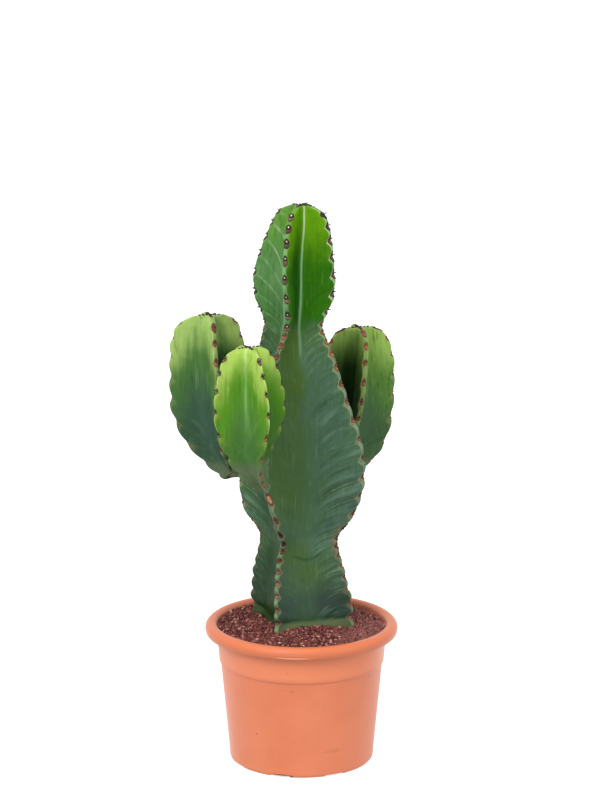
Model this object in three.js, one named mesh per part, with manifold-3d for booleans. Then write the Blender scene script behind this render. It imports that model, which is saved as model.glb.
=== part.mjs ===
// A potted euphorbia: four-ribbed succulent stems with toothed edges, gravelly soil and a plastic pot.
// Millimetres, +Z up, origin under the middle of the pot's base. The photographed side faces -Y.
import * as THREE from 'three';
import { mergeVertices } from 'three/addons/utils/BufferGeometryUtils.js';
import Module from 'manifold-3d';

const wasm = await Module();
wasm.setup();
const { Manifold, Mesh: ManifoldMesh } = wasm;

// Pot. The inner wall runs straight between the heights in innerRadius.
const POT_SEGMENTS = 40;
const WALL = 2.6;
const FLOOR_TOP = 6;
const FLOOR_FILLET = 3;
const FOOT_RAISE = 2.8;
const FOOT_RADIUS = 98;
const BASE_RADIUS = 100.8;
const STEP_HEIGHT = 141;
const STEP_RADIUS = 113.4;
const STEP_SIZE = 2;
const COLLAR_TOP = 176;
const COLLAR_RADIUS = 118.2;
const COLLAR_FLARE = 1.4;
const RIM_RADIUS = 135;
const RIM_ROOT = 12;
const POT_HEIGHT = 198;
const NOTCH_COUNT = 8;
const NOTCH_WIDTH = 28;
const NOTCH_HEIGHT = 2.4;
const NOTCH_INNER_RADIUS = 80;
const NOTCH_AZIMUTH = -17.5;
const DRAIN_COUNT = 8;
const DRAIN_RADIUS = 5;
const DRAIN_CIRCLE = 62;

// Soil.
const SOIL_TOP = 189;
const SOIL_EDGE_DROP = 1;
const SOIL_GAP = 0.4;
const SOIL_ROWS = 12;
const GRAIN_HEIGHT = 1.2;
const HEAP_HEIGHT = 3;
const HEAP_SPREAD = 80;

// Stems. The trunk stands behind the middle of the pot, and its skin starts just above the soil.
const TRUNK_X = -2;
const TRUNK_Y = 31;
const TRUNK_START = 0.36;
const STUB_DEPTH = 40;
const STUB_TAPER = 0.76;
const HOLE_CLEARANCE = 0.4;
const HOLE_HEADROOM = 20;
const JOINT_GAP = 0.3;
const NECK_DEPTH = 26;
const TIP_HEIGHT = 1;

// Ribs. A rib's edge is rounded out between its shields, and folds run down its flanks.
const RIBS = 4;
const EDGE_HALF_WIDTH = 4.2;
const EDGE_BASE_WIDTH = 1;
const EDGE_WIDTH_SHARE = 0.22;
const EDGE_DROP = 0.8;
const TOOTH_DEPTH = 0.15;
const TOOTH_ROUNDNESS = 0.7;
const SHOULDER_DEPTH = 0.12;
const FLANK_DEPTH = 0.6;
const FLANK_BOW = 0.42;
const FOLD_DEPTH = 0.055;
const FOLD_SLANT = 1.1;
const SHIELD_RISE = 1.6;
const SHIELD_WIDENING = 0.7;
const SPINE_LENGTH = 3.2;
const TOOTH_ROWS = [-0.15, 0, 0.15, 0.5];
const TIP_MARGIN = 0.12;
const SAME_TOOTH = 0.01;

// Trunk stations, from the soil to the tip: x, height, rib radius, valley ratio, rib azimuth,
// tooth spacing. The azimuth is that of the front rib, from the viewer's side towards +X.
const TRUNK_STATIONS = [
  [2.5, 187, 78.2, 0.66, -28, 18],
  [2.2, 192, 78.6, 0.66, -28, 18],
  [1.4, 201, 74.6, 0.65, -28, 18],
  [0.7, 215, 75.3, 0.64, -27, 20],
  [-0.8, 235, 73.2, 0.6, -27, 20],
  [-1.6, 255, 70.2, 0.57, -27, 17],
  [-2.5, 275, 65.6, 0.56, -27, 15.5],
  [-2.8, 295, 60, 0.58, -27, 14],
  [-4, 308, 57, 0.6, -24, 10.5],
  [-5.2, 320, 59.8, 0.55, -21, 13],
  [-5.6, 340, 75.6, 0.46, -21.5, 24],
  [-4.1, 360, 86, 0.42, -23, 28],
  [-2.4, 380, 94, 0.4, -26.5, 28],
  [-1.6, 405, 98.5, 0.4, -29, 27],
  [-1.4, 430, 98.8, 0.4, -30, 27],
  [-2, 455, 96.5, 0.4, -30.6, 26.5],
  [-4.1, 480, 90, 0.41, -30.5, 26],
  [-6.5, 510, 81.3, 0.42, -30.4, 25],
  [-7.5, 540, 71.7, 0.42, -31, 24],
  [-7.6, 560, 64.7, 0.42, -31, 21],
  [-7.5, 575, 58, 0.42, -30, 17],
  [-8.7, 590, 50.5, 0.42, -26, 14.5],
  [-11.1, 605, 43.2, 0.42, -19, 12],
  [-11.6, 617, 40.8, 0.4, -14.5, 9],
  [-11.6, 630, 44, 0.36, -10, 17],
  [-11.5, 650, 52.1, 0.33, -9, 25],
  [-11.3, 670, 55.6, 0.32, -9.7, 27],
  [-10.5, 690, 55.6, 0.32, -12.4, 25],
  [-8.8, 710, 52.6, 0.32, -15, 23],
  [-6.2, 730, 47.8, 0.32, -19, 22],
  [-4, 748, 42.8, 0.32, -22.5, 17],
  [-2.7, 763, 36.5, 0.32, -25, 11],
  [-2, 775, 27.5, 0.34, -26, 8],
  [-2, 782, 13, 0.5, -26, 6],
];

// Arm stations, from the neck to the tip: distance out from the trunk's middle, height, tilt of
// the section, rib radius, valley ratio, rib azimuth from the arm's heading, tooth spacing.
const ARMS = {
  left_arm: {
    heading: -119,
    color: 0x5d8a3c,
    stations: [
      [105.5, 391, 80, 9.5, 0.64, 42, 13],
      [112, 394, 66, 15.5, 0.5, 42, 14],
      [121, 405, 50, 21.5, 0.44, 42, 20],
      [130.5, 422, 33, 30, 0.38, 42, 25],
      [138, 448, 15, 43, 0.36, 42, 28],
      [143, 482, 4, 52, 0.35, 42, 29],
      [145, 522, 0, 53.5, 0.35, 42, 30],
      [149, 562, 0, 50, 0.35, 43, 28],
      [150.5, 591, 0, 42.5, 0.35, 44, 20],
      [151.5, 606, 0, 30, 0.36, 44, 11],
      [151, 613.5, 0, 13.5, 0.5, 44, 7],
    ],
  },
  front_arm: {
    heading: -29,
    color: 0x86b52e,
    stations: [
      [105.5, 409, 78, 9.5, 0.64, 50, 12],
      [112, 418, 64, 13.5, 0.5, 50, 13],
      [123, 431, 50, 18, 0.44, 50, 15],
      [131, 447, 33, 24, 0.38, 50, 20],
      [137, 467, 15, 33, 0.36, 53, 28],
      [140, 493, 4, 45, 0.35, 57, 32],
      [140, 521, 0, 51, 0.35, 58, 30],
      [141, 546, 0, 49.5, 0.35, 58, 28],
      [144, 571, 0, 44, 0.35, 58, 25],
      [146, 591, 0, 36.5, 0.35, 57, 17],
      [146, 605, 0, 25, 0.36, 57, 10],
      [145, 612, 0, 11, 0.5, 57, 6],
    ],
  },
  right_arm: {
    heading: 150,
    color: 0x4f8f38,
    stations: [
      [105.5, 389, 80, 11, 0.64, 34, 13],
      [114, 392, 66, 21, 0.5, 34, 14],
      [127, 401, 50, 32, 0.42, 35, 20],
      [139, 418, 33, 42, 0.38, 36, 25],
      [147, 442, 15, 49, 0.36, 37, 28],
      [154, 466, 4, 52.5, 0.35, 38, 29],
      [160, 500, 0, 52, 0.35, 40, 28],
      [165, 530, 0, 48, 0.35, 41, 27],
      [168, 556, 0, 40, 0.35, 43, 20],
      [168, 572, 0, 28, 0.36, 45, 11],
      [168, 579.5, 0, 12.5, 0.5, 46, 7],
    ],
  },
};

const radians = THREE.MathUtils.degToRad;

// A smooth curve through the values at the given places.
function interpolate(places, values, place) {
  const last = places.length - 1;
  const x = Math.min(Math.max(place, places[0]), places[last]);
  let i = 0;
  while (i < last - 1 && x > places[i + 1]) i += 1;
  const slope = (j) => {
    const a = Math.max(j - 1, 0);
    const b = Math.min(j + 1, last);
    return (values[b] - values[a]) / (places[b] - places[a]);
  };
  const h = places[i + 1] - places[i];
  const t = (x - places[i]) / h;
  const t2 = t * t;
  const t3 = t2 * t;
  return (2 * t3 - 3 * t2 + 1) * values[i] + (t3 - 2 * t2 + t) * h * slope(i)
    + (3 * t2 - 2 * t3) * values[i + 1] + (t3 - t2) * h * slope(i + 1);
}

function trunkStem() {
  const stations = TRUNK_STATIONS.map(([x, z, radius, valley, azimuth, spacing]) => (
    { centre: [x, TRUNK_Y, z], tilt: 0, radius, valley, azimuth, spacing }));
  return makeStem(0, stations);
}

function armStem({ heading, stations }) {
  const outX = Math.sin(radians(heading));
  const outY = -Math.cos(radians(heading));
  return makeStem(heading, stations.map(([out, z, tilt, radius, valley, azimuth, spacing]) => (
    { centre: [TRUNK_X + out * outX, TRUNK_Y + out * outY, z], tilt, radius, valley, azimuth, spacing })));
}

// A stem's stations and its tooth number at each of them.
function makeStem(heading, stations) {
  const teeth = [0];
  for (let i = 1; i < stations.length; i += 1) {
    const [a, b] = [stations[i - 1], stations[i]];
    const step = Math.hypot(...b.centre.map((v, k) => v - a.centre[k]));
    teeth.push(teeth[i - 1] + (2 * step) / (a.spacing + b.spacing));
  }
  return { heading, stations, teeth, last: teeth[teeth.length - 1] };
}

// The section's middle, its two directions and its sizes at a tooth number.
function sectionAt(stem, tooth) {
  const value = (pick) => interpolate(stem.teeth, stem.stations.map(pick), tooth);
  const heading = radians(stem.heading);
  const tilt = radians(value((s) => s.tilt));
  return {
    centre: new THREE.Vector3(...[0, 1, 2].map((k) => value((s) => s.centre[k]))),
    out: new THREE.Vector3(
      Math.cos(tilt) * Math.sin(heading), -Math.cos(tilt) * Math.cos(heading), -Math.sin(tilt)),
    side: new THREE.Vector3(Math.cos(heading), Math.sin(heading), 0),
    radius: value((s) => s.radius),
    valley: value((s) => s.valley),
    azimuth: radians(value((s) => s.azimuth)),
    spacing: value((s) => s.spacing),
  };
}

// A point of a section, p along a rib's direction and q across it.
function ribPoint(section, rib, p, q) {
  const angle = section.azimuth + (rib * 2 * Math.PI) / RIBS;
  const along = p * Math.cos(angle) - q * Math.sin(angle);
  const across = p * Math.sin(angle) + q * Math.cos(angle);
  return section.centre.clone()
    .addScaledVector(section.out, along)
    .addScaledVector(section.side, across);
}

// Whole tooth numbers are the shields.
function isShield(tooth) {
  return Math.abs(tooth - Math.round(tooth)) < SAME_TOOTH;
}

// How far the rib's edge stands out at a tooth number: round lobes between notches.
function toothRise(tooth, spacing) {
  return TOOTH_DEPTH * spacing * Math.abs(Math.sin(Math.PI * tooth)) ** TOOTH_ROUNDNESS;
}

// The points of one ring from the sections at its crest, shoulder, flank and valley. Each quarter
// runs from a rib's crest down its flank to the valley and up to the next rib.
function ringPoints([crest, shoulder, flank, valley], { half, rise, peak, fold, grow }) {
  const low = (valley.radius * valley.valley + grow) / Math.SQRT2;
  const shoulderP = shoulder.radius + rise + grow - EDGE_DROP * half;
  const flankP = 0.5 * (shoulder.radius + low);
  const flankQ = half + (low - half) * FLANK_BOW + fold;
  const points = [];
  for (let rib = 0; rib < RIBS; rib += 1) {
    points.push(ribPoint(crest, rib, crest.radius + rise + peak + grow, 0));
    points.push(ribPoint(shoulder, rib, shoulderP, half));
    points.push(ribPoint(flank, rib, flankP, flankQ));
    points.push(ribPoint(valley, rib, low, low));
    points.push(ribPoint(flank, rib + 1, flankP, -flankQ));
    points.push(ribPoint(shoulder, rib + 1, shoulderP, -half));
  }
  return points;
}

function edgeHalfWidth(radius) {
  return Math.min(EDGE_HALF_WIDTH, EDGE_WIDTH_SHARE * radius + EDGE_BASE_WIDTH);
}

// A level ring without teeth or folds, grown outwards.
function plainRing(stem, tooth, grow = 0) {
  const section = sectionAt(stem, tooth);
  const half = edgeHalfWidth(section.radius) + grow;
  return ringPoints([section, section, section, section], { half, rise: 0, peak: 0, fold: 0, grow });
}

// A ring of the skin. Points away from the crest lie lower on the stem, so the folds slant.
function skinRing(stem, tooth) {
  const fade = Math.min(1, tooth / 2);
  const sections = [0, SHOULDER_DEPTH, FLANK_DEPTH, 1].map((depth) => (
    sectionAt(stem, Math.min(stem.last, tooth - FOLD_SLANT * depth * fade))));
  const onShield = isShield(tooth);
  return ringPoints(sections, {
    half: edgeHalfWidth(sections[0].radius) + (onShield ? SHIELD_WIDENING : 0),
    rise: toothRise(tooth, sections[0].spacing),
    peak: onShield ? SHIELD_RISE : 0,
    fold: FOLD_DEPTH * sections[2].spacing * -Math.cos(2 * Math.PI * tooth),
    grow: 0,
  });
}

// The tooth numbers of a stem's rings after the first, four to a tooth.
function ringTeeth(stem) {
  const numbers = [];
  for (let tooth = 1; tooth < stem.last; tooth += 1) {
    TOOTH_ROWS.forEach((row) => numbers.push(tooth + row));
  }
  return [...numbers.filter((n) => n < stem.last - TIP_MARGIN), stem.last];
}

function noTip() {
  return null;
}

// A closed solid from rings of equally many points, with flat or slightly pointed ends. Where
// tipOf gives a point for a face between two rings, that face becomes a pyramid.
function solidFromRings(rings, startPoint, endPoint, tipOf = noTip) {
  const count = rings[0].length;
  const points = [startPoint, ...rings.flat(), endPoint];
  const faces = [];
  const id = (ring, k) => 1 + ring * count + (k % count);
  const end = 1 + rings.length * count;
  for (let k = 0; k < count; k += 1) {
    faces.push([0, id(0, k + 1), id(0, k)]);
    faces.push([end, id(rings.length - 1, k), id(rings.length - 1, k + 1)]);
  }
  for (let ring = 0; ring + 1 < rings.length; ring += 1) {
    for (let k = 0; k < count; k += 1) {
      const quad = [id(ring, k), id(ring, k + 1), id(ring + 1, k + 1), id(ring + 1, k)];
      const tip = tipOf(ring, k, quad.map((i) => points[i]));
      if (tip) {
        points.push(tip);
        quad.forEach((corner, i) => faces.push([corner, quad[(i + 1) % 4], points.length - 1]));
      } else {
        faces.push([quad[0], quad[1], quad[2]], [quad[0], quad[2], quad[3]]);
      }
    }
  }
  const geometry = new THREE.BufferGeometry();
  geometry.setAttribute('position', new THREE.Float32BufferAttribute(
    points.flatMap((p) => [p.x, p.y, p.z]), 3));
  geometry.setIndex(faces.flat());
  return geometry;
}

function middle(points) {
  return points.reduce((sum, p) => sum.add(p), new THREE.Vector3()).divideScalar(points.length);
}

// A copy of a level ring, lower by the depth and narrower.
function taperedDown(ring, depth) {
  const centre = middle(ring);
  return ring.map((p) => p.clone().sub(centre).multiplyScalar(STUB_TAPER).add(centre).setZ(p.z - depth));
}

// The skin of a stem from a tooth number up, with a pair of spines on every shield.
function stemGeometry(stem, start, base = []) {
  const above = ringTeeth(stem);
  const rings = [...base, plainRing(stem, start), ...above.map((tooth) => skinRing(stem, tooth))];
  const firstSkin = rings.length - above.length;
  const perRib = rings[0].length / RIBS;
  const spineTip = (ring, k, quad) => {
    const besideCrest = k % perRib === 0 || k % perRib === perRib - 1;
    if (!besideCrest || ring < firstSkin || !isShield(above[ring - firstSkin])) return null;
    const crossed = new THREE.Vector3().crossVectors(
      quad[2].clone().sub(quad[0]), quad[3].clone().sub(quad[1]));
    return middle(quad).addScaledVector(crossed.normalize(), SPINE_LENGTH);
  };
  const top = sectionAt(stem, stem.last).centre.add(new THREE.Vector3(0, 0, TIP_HEIGHT));
  return solidFromRings(rings, middle(rings[0]), top, spineTip);
}

// A prism between two copies of one ring.
function prism(ring, from, to) {
  const shifted = (offset) => ring.map((p) => p.clone().add(offset));
  const rings = [shifted(from), shifted(to)];
  return solidFromRings(rings, middle(rings[0]), middle(rings[1]));
}

function toManifold(geometry) {
  const bare = geometry.clone();
  bare.deleteAttribute('normal');
  bare.deleteAttribute('uv');
  const merged = mergeVertices(bare, 1e-4);
  return new Manifold(new ManifoldMesh({
    numProp: 3,
    vertProperties: Float32Array.from(merged.attributes.position.array),
    triVerts: Uint32Array.from(merged.index.array),
  }));
}

function fromManifold(manifold) {
  const { vertProperties, triVerts } = manifold.getMesh();
  const geometry = new THREE.BufferGeometry();
  geometry.setAttribute('position', new THREE.Float32BufferAttribute(vertProperties, 3));
  geometry.setIndex(Array.from(triVerts));
  return geometry;
}

// The flat-ended neck on the trunk's rib that an arm stands against.
function neck(arm) {
  const section = sectionAt(arm, 0);
  const inward = new THREE.Vector3().crossVectors(section.side, section.out);
  const from = inward.clone().multiplyScalar(NECK_DEPTH);
  const to = inward.clone().multiplyScalar(JOINT_GAP);
  return prism(plainRing(arm, 0), from, to);
}

// The trunk with its stub in the soil and its necks for the arms.
function trunkGeometry(trunk, arms) {
  const stub = taperedDown(plainRing(trunk, TRUNK_START), STUB_DEPTH);
  let solid = toManifold(stemGeometry(trunk, TRUNK_START, [stub]));
  arms.forEach((arm) => {
    solid = solid.add(toManifold(neck(arm)));
  });
  return fromManifold(solid);
}

// Inner radius of the pot at a height.
function innerRadius(z) {
  const heights = [FLOOR_TOP, STEP_HEIGHT, POT_HEIGHT - RIM_ROOT];
  const radii = [BASE_RADIUS - WALL, STEP_RADIUS - WALL, COLLAR_RADIUS + COLLAR_FLARE - WALL];
  const i = z < heights[1] ? 0 : 1;
  return radii[i] + ((z - heights[i]) * (radii[i + 1] - radii[i])) / (heights[i + 1] - heights[i]);
}

// Lathe profile with a middle pad and a foot ring, a step below the collar and a rolled rim. The
// rim's points are given in from its outer radius and down from its top.
function potProfile() {
  const base = [
    [0, 0], [34, 0], [36, FOOT_RAISE], [86, FOOT_RAISE], [88, 0], [FOOT_RADIUS, 0],
    [FOOT_RADIUS + 2, 2.2], [BASE_RADIUS, 8], [STEP_RADIUS, STEP_HEIGHT],
    [STEP_RADIUS + STEP_SIZE, STEP_HEIGHT + STEP_SIZE], [COLLAR_RADIUS, COLLAR_TOP],
    [COLLAR_RADIUS + COLLAR_FLARE, POT_HEIGHT - RIM_ROOT],
  ];
  const rim = [
    [11, 8], [5.2, 9.5], [4.6, 15.6], [1.8, 15.9], [0, 10.5], [0.8, 6], [4.2, 1.8], [9, 0],
    [13.7, 0.4], [16.2, 4],
  ].map(([inward, down]) => [RIM_RADIUS - inward, POT_HEIGHT - down]);
  const inside = [
    [innerRadius(POT_HEIGHT - RIM_ROOT), POT_HEIGHT - RIM_ROOT],
    [innerRadius(STEP_HEIGHT), STEP_HEIGHT],
    [innerRadius(FLOOR_TOP + FLOOR_FILLET), FLOOR_TOP + FLOOR_FILLET],
    [innerRadius(FLOOR_TOP) - FLOOR_FILLET, FLOOR_TOP],
    [0, FLOOR_TOP],
  ];
  return [...base, ...rim, ...inside].map(([r, z]) => new THREE.Vector2(r, z));
}

// A lathe turned about +Z.
function latheZ(profile) {
  const geometry = new THREE.LatheGeometry(profile, POT_SEGMENTS);
  geometry.rotateX(Math.PI / 2);
  return geometry;
}

// The solid without one cut at each of the evenly spaced directions round the base.
function cutAround(solid, count, makeCut) {
  let rest = solid;
  for (let i = 0; i < count; i += 1) {
    const cut = makeCut();
    cut.rotateZ(radians(NOTCH_AZIMUTH - 90 + (i * 360) / count));
    rest = rest.subtract(toManifold(cut));
  }
  return rest;
}

function notch() {
  const geometry = new THREE.BoxGeometry(BASE_RADIUS, NOTCH_WIDTH, 2 * NOTCH_HEIGHT);
  return geometry.translate(NOTCH_INNER_RADIUS + BASE_RADIUS / 2, 0, 0);
}

function drain() {
  const geometry = new THREE.CylinderGeometry(DRAIN_RADIUS, DRAIN_RADIUS, 4 * FLOOR_TOP, 10);
  return geometry.rotateX(Math.PI / 2).translate(DRAIN_CIRCLE, 0, 0);
}

function pot() {
  const turned = toManifold(latheZ(potProfile()));
  const notched = cutAround(turned, NOTCH_COUNT, notch);
  return fromManifold(cutAround(notched, DRAIN_COUNT, drain));
}

// Repeatable noise from -1 to 1.
function noise(i, j) {
  const wave = Math.sin(i * 127.1 + j * 311.7) * 43758.5453;
  return 2 * (wave - Math.floor(wave)) - 1;
}

// A level or bumpy circle of points.
function circle(radius, heightAt) {
  return Array.from({ length: POT_SEGMENTS }, (_, k) => {
    const angle = (2 * Math.PI * k) / POT_SEGMENTS;
    const [x, y] = [radius * Math.cos(angle), radius * Math.sin(angle)];
    return new THREE.Vector3(x, y, heightAt(x, y, k));
  });
}

// Height of the soil's surface: coarse gravel, heaped a little towards the trunk.
function soilHeight(x, y, grain) {
  const away = ((x - TRUNK_X) ** 2 + (y - TRUNK_Y) ** 2) / HEAP_SPREAD ** 2;
  return SOIL_TOP + HEAP_HEIGHT * (Math.exp(-away) - 0.2) + GRAIN_HEIGHT * grain;
}

// Gravel-covered filling of the pot, with a hole that takes the trunk's stub.
function soil(trunk) {
  const level = (z) => () => z;
  const bottom = FLOOR_TOP + SOIL_GAP;
  const edgeHeight = SOIL_TOP - SOIL_EDGE_DROP;
  const edge = innerRadius(edgeHeight) - SOIL_GAP;
  const rings = [
    circle(innerRadius(FLOOR_TOP) - FLOOR_FILLET - SOIL_GAP, level(bottom)),
    circle(innerRadius(bottom + FLOOR_FILLET) - SOIL_GAP, level(bottom + FLOOR_FILLET)),
    circle(innerRadius(STEP_HEIGHT) - SOIL_GAP, level(STEP_HEIGHT)),
    circle(edge, level(edgeHeight)),
  ];
  for (let row = 1; row < SOIL_ROWS; row += 1) {
    const radius = (edge - 2) * (1 - row / SOIL_ROWS);
    rings.push(circle(radius, (x, y, k) => soilHeight(x, y, noise(row, k))));
  }
  const filling = solidFromRings(rings, middle(rings[0]), middle(rings[rings.length - 1]));
  const outline = plainRing(trunk, TRUNK_START, HOLE_CLEARANCE);
  const holeRings = [
    taperedDown(outline, STUB_DEPTH + HOLE_CLEARANCE),
    outline,
    outline.map((p) => p.clone().setZ(p.z + HOLE_HEADROOM)),
  ];
  const hole = solidFromRings(holeRings, middle(holeRings[0]), middle(holeRings[2]));
  return fromManifold(toManifold(filling).subtract(toManifold(hole)));
}

function named(name, geometry, color, roughness) {
  const material = new THREE.MeshStandardMaterial({ color, roughness, metalness: 0 });
  material.name = name;
  const mesh = new THREE.Mesh(geometry, material);
  mesh.name = name;
  return mesh;
}

const part = new THREE.Group();
part.name = 'potted_euphorbia';
const trunk = trunkStem();
const arms = Object.entries(ARMS).map(([name, settings]) => (
  { name, color: settings.color, stem: armStem(settings) }));
part.add(named('pot', pot(), 0xe0824f, 0.45));
part.add(named('soil', soil(trunk), 0x5b352d, 0.95));
arms.forEach(({ name, color, stem }) => part.add(named(name, stemGeometry(stem, 0), color, 0.55)));
part.add(named('trunk', trunkGeometry(trunk, arms.map(({ stem }) => stem)), 0x3f6b42, 0.55));

export default part;
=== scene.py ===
# The looks of the potted euphorbia: fine skins, spine shields, grit and pot around the CAD frame.
# Metres, +Z up. The stations of the stems and the pot's sizes are the CAD source's, in millimetres,
# but the stems' tips are drawn a few millimetres broader.
import functools
import math

import bpy
import numpy as np
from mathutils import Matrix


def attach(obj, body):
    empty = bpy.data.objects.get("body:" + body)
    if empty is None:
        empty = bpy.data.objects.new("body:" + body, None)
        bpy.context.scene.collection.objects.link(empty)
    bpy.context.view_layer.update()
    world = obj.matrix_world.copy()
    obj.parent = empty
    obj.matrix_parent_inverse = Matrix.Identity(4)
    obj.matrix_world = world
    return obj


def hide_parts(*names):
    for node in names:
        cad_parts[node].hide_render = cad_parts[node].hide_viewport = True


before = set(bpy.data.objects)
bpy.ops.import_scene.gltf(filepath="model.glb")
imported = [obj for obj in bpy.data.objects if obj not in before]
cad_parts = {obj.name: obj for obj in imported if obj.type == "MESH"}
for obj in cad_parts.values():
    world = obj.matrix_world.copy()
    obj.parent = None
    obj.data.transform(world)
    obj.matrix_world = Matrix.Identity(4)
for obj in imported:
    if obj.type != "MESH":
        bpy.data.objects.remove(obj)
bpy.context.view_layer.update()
MM = 0.001

# The camera that fits the photograph.
CAMERA_PLACE = (-0.0021, -4.7, 1.675)
CAMERA_PITCH = 13.86
CAMERA_LENS = 158.04

# Stems.
TRUNK_X = -2
TRUNK_Y = 31
TRUNK_FRONT_X = 8
RIBS = 4
TOOTH_DEPTH = 0.15
FOOT_TOOTH_DEPTH = 0.11
EDGE_SHARE = 0.14
ROWS_PER_TOOTH = 20
EDGE_COLUMNS = 7
FLANK_COLUMNS = 19
NECK_DEPTH = 17
NECK_TAPER = 0.25
FOOT_DEPTH = 14
FOOT_TAPER = 0.93
TIP_RISE = 0.6
CREASE_DEPTH = 0.075

# Trunk stations: x, height, rib radius, valley ratio, rib azimuth, tooth spacing.
TRUNK_STATIONS = [
    (2.5, 187, 78.2, 0.66, -28, 18),
    (2.2, 192, 78.6, 0.66, -28, 18),
    (1.4, 201, 74.6, 0.65, -28, 18),
    (0.7, 215, 75.3, 0.64, -27, 20),
    (-0.8, 235, 73.2, 0.6, -27, 20),
    (-1.6, 255, 70.2, 0.57, -27, 17),
    (-2.5, 275, 65.6, 0.56, -27, 15.5),
    (-2.8, 295, 60, 0.58, -27, 14),
    (-4, 308, 57, 0.6, -24, 10.5),
    (-5.2, 320, 59.8, 0.55, -21, 13),
    (-5.6, 340, 75, 0.46, -21.5, 24),
    (-4.1, 360, 84.6, 0.42, -23, 28),
    (-2.4, 380, 92.2, 0.4, -26.5, 28),
    (-1.6, 405, 97.2, 0.4, -29, 27),
    (-1.4, 430, 98.8, 0.4, -30, 27),
    (-2, 455, 96.5, 0.4, -30.6, 26.5),
    (-4.1, 480, 90, 0.41, -30.5, 26),
    (-6.5, 510, 81.3, 0.42, -30.4, 25),
    (-7.5, 540, 71.7, 0.42, -31, 24),
    (-7.6, 560, 64.7, 0.42, -31, 21),
    (-7.5, 575, 58, 0.42, -30, 17),
    (-8.7, 590, 50.5, 0.42, -26, 14.5),
    (-11.1, 605, 43.2, 0.42, -19, 12),
    (-11.2, 617, 39.8, 0.4, -14.5, 11),
    (-10.8, 630, 42.6, 0.36, -11, 20),
    (-10.3, 650, 50.4, 0.33, -11, 26),
    (-10.1, 670, 54, 0.32, -12, 27),
    (-9.6, 690, 54, 0.32, -14.5, 26),
    (-7.7, 710, 51, 0.32, -17, 25),
    (-5, 730, 46.8, 0.32, -20, 23),
    (-2.4, 748, 42.8, 0.32, -23, 19),
    (-0.8, 763, 38, 0.32, -25, 15),
    (0.2, 775, 30, 0.34, -26, 12),
    (0.5, 782, 16.5, 0.5, -26, 9),
]

# Arm stations: distance out, height, tilt, rib radius, valley ratio, rib azimuth, tooth spacing.
LEFT_ARM = (-119, [
    (105.5, 391, 80, 9.5, 0.64, 42, 13),
    (112, 394, 66, 15.5, 0.5, 42, 14),
    (121, 405, 50, 19.5, 0.44, 42, 20),
    (130.5, 422, 33, 28, 0.38, 42, 25),
    (138, 448, 15, 44, 0.36, 42, 28),
    (143, 482, 4, 53.2, 0.35, 42, 29),
    (145, 522, 0, 54, 0.35, 42, 30),
    (148.5, 562, 0, 51, 0.35, 43, 28),
    (149.5, 591, 0, 45, 0.35, 44, 22),
    (148, 605, 0, 36, 0.36, 44, 14),
    (145.5, 612.5, 0, 21, 0.44, 44, 10),
])
FRONT_ARM = (-29, [
    (105.5, 409, 78, 9.5, 0.64, 50, 12),
    (112, 418, 64, 13.5, 0.5, 50, 13),
    (123, 431, 50, 18, 0.44, 50, 15),
    (131, 447, 33, 24, 0.38, 50, 20),
    (137, 467, 15, 33, 0.36, 53, 28),
    (140, 493, 4, 45, 0.35, 57, 32),
    (140, 521, 0, 51, 0.35, 58, 30),
    (141, 546, 0, 49.5, 0.35, 58, 28),
    (144, 571, 0, 44.5, 0.35, 58, 25),
    (146, 591, 0, 38.5, 0.35, 57, 19),
    (145.5, 604, 0, 30.5, 0.36, 57, 13),
    (144, 611, 0, 18, 0.44, 57, 9),
])
RIGHT_ARM = (150, [
    (105.5, 389, 80, 11, 0.64, 34, 13),
    (114, 392, 66, 21, 0.5, 34, 14),
    (127, 401, 50, 32, 0.42, 35, 20),
    (139, 418, 33, 44.5, 0.38, 36, 25),
    (147, 442, 15, 51.5, 0.36, 37, 28),
    (154, 466, 4, 53.5, 0.35, 38, 29),
    (160, 500, 0, 52.5, 0.35, 40, 28),
    (165, 530, 0, 49, 0.35, 41, 27),
    (167.5, 556, 0, 42.5, 0.35, 43, 21),
    (167, 571.5, 0, 33, 0.36, 45, 14),
    (166, 578.5, 0, 19.5, 0.44, 46, 10),
])

# Pot and soil.
POT_SEGMENTS = 288
WALL = 2.6
FLOOR_TOP = 6
PAD_RADIUS = 34
UNDERSIDE_RISE = 2.8
FOOT_INNER_RADIUS = 88
FOOT_RADIUS = 98
BASE_RADIUS = 100.8
STEP_HEIGHT = 141
STEP_RADIUS = 113.4
COLLAR_TOP = 176
COLLAR_RADIUS = 118.2
RIM_RADIUS = 135
POT_HEIGHT = 198
NOTCH_COUNT = 8
NOTCH_WIDTH = 28
NOTCH_HEIGHT = 2.4
NOTCH_AZIMUTH = -17.5
SOIL_LEVEL = 189
BED_RADIUS = 117.4
BED_DROP = 1.2
BED_RINGS = 60
BED_SEGMENTS = 160
GRAIN_COUNT = 7600
GRAIN_REACH = 117.2


# ---------------------------------------------------------------- numbers

def interpolate(places, values, x):
    """A smooth curve through the values at the given places."""
    places = np.asarray(places, float)
    values = np.asarray(values, float)
    x = np.clip(np.asarray(x, float), places[0], places[-1])
    before = np.maximum(np.arange(len(places)) - 1, 0)
    after = np.minimum(np.arange(len(places)) + 1, len(places) - 1)
    slope = (values[after] - values[before]) / (places[after] - places[before])
    i = np.clip(np.searchsorted(places, x) - 1, 0, len(places) - 2)
    h = places[i + 1] - places[i]
    t = (x - places[i]) / h
    return ((2 * t**3 - 3 * t**2 + 1) * values[i] + (t**3 - 2 * t**2 + t) * h * slope[i]
            + (3 * t**2 - 2 * t**3) * values[i + 1] + (t**3 - t**2) * h * slope[i + 1])


def smooth(low, high, x):
    """0 at low, 1 at high and a smooth step between. low may be the larger."""
    t = np.clip((np.asarray(x, float) - low) / (high - low), 0, 1)
    return t * t * (3 - 2 * t)


def bump(x, centre, width):
    """A round bump of height 1 at the centre."""
    return np.exp(-((np.asarray(x, float) - centre) / width) ** 2)


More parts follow.
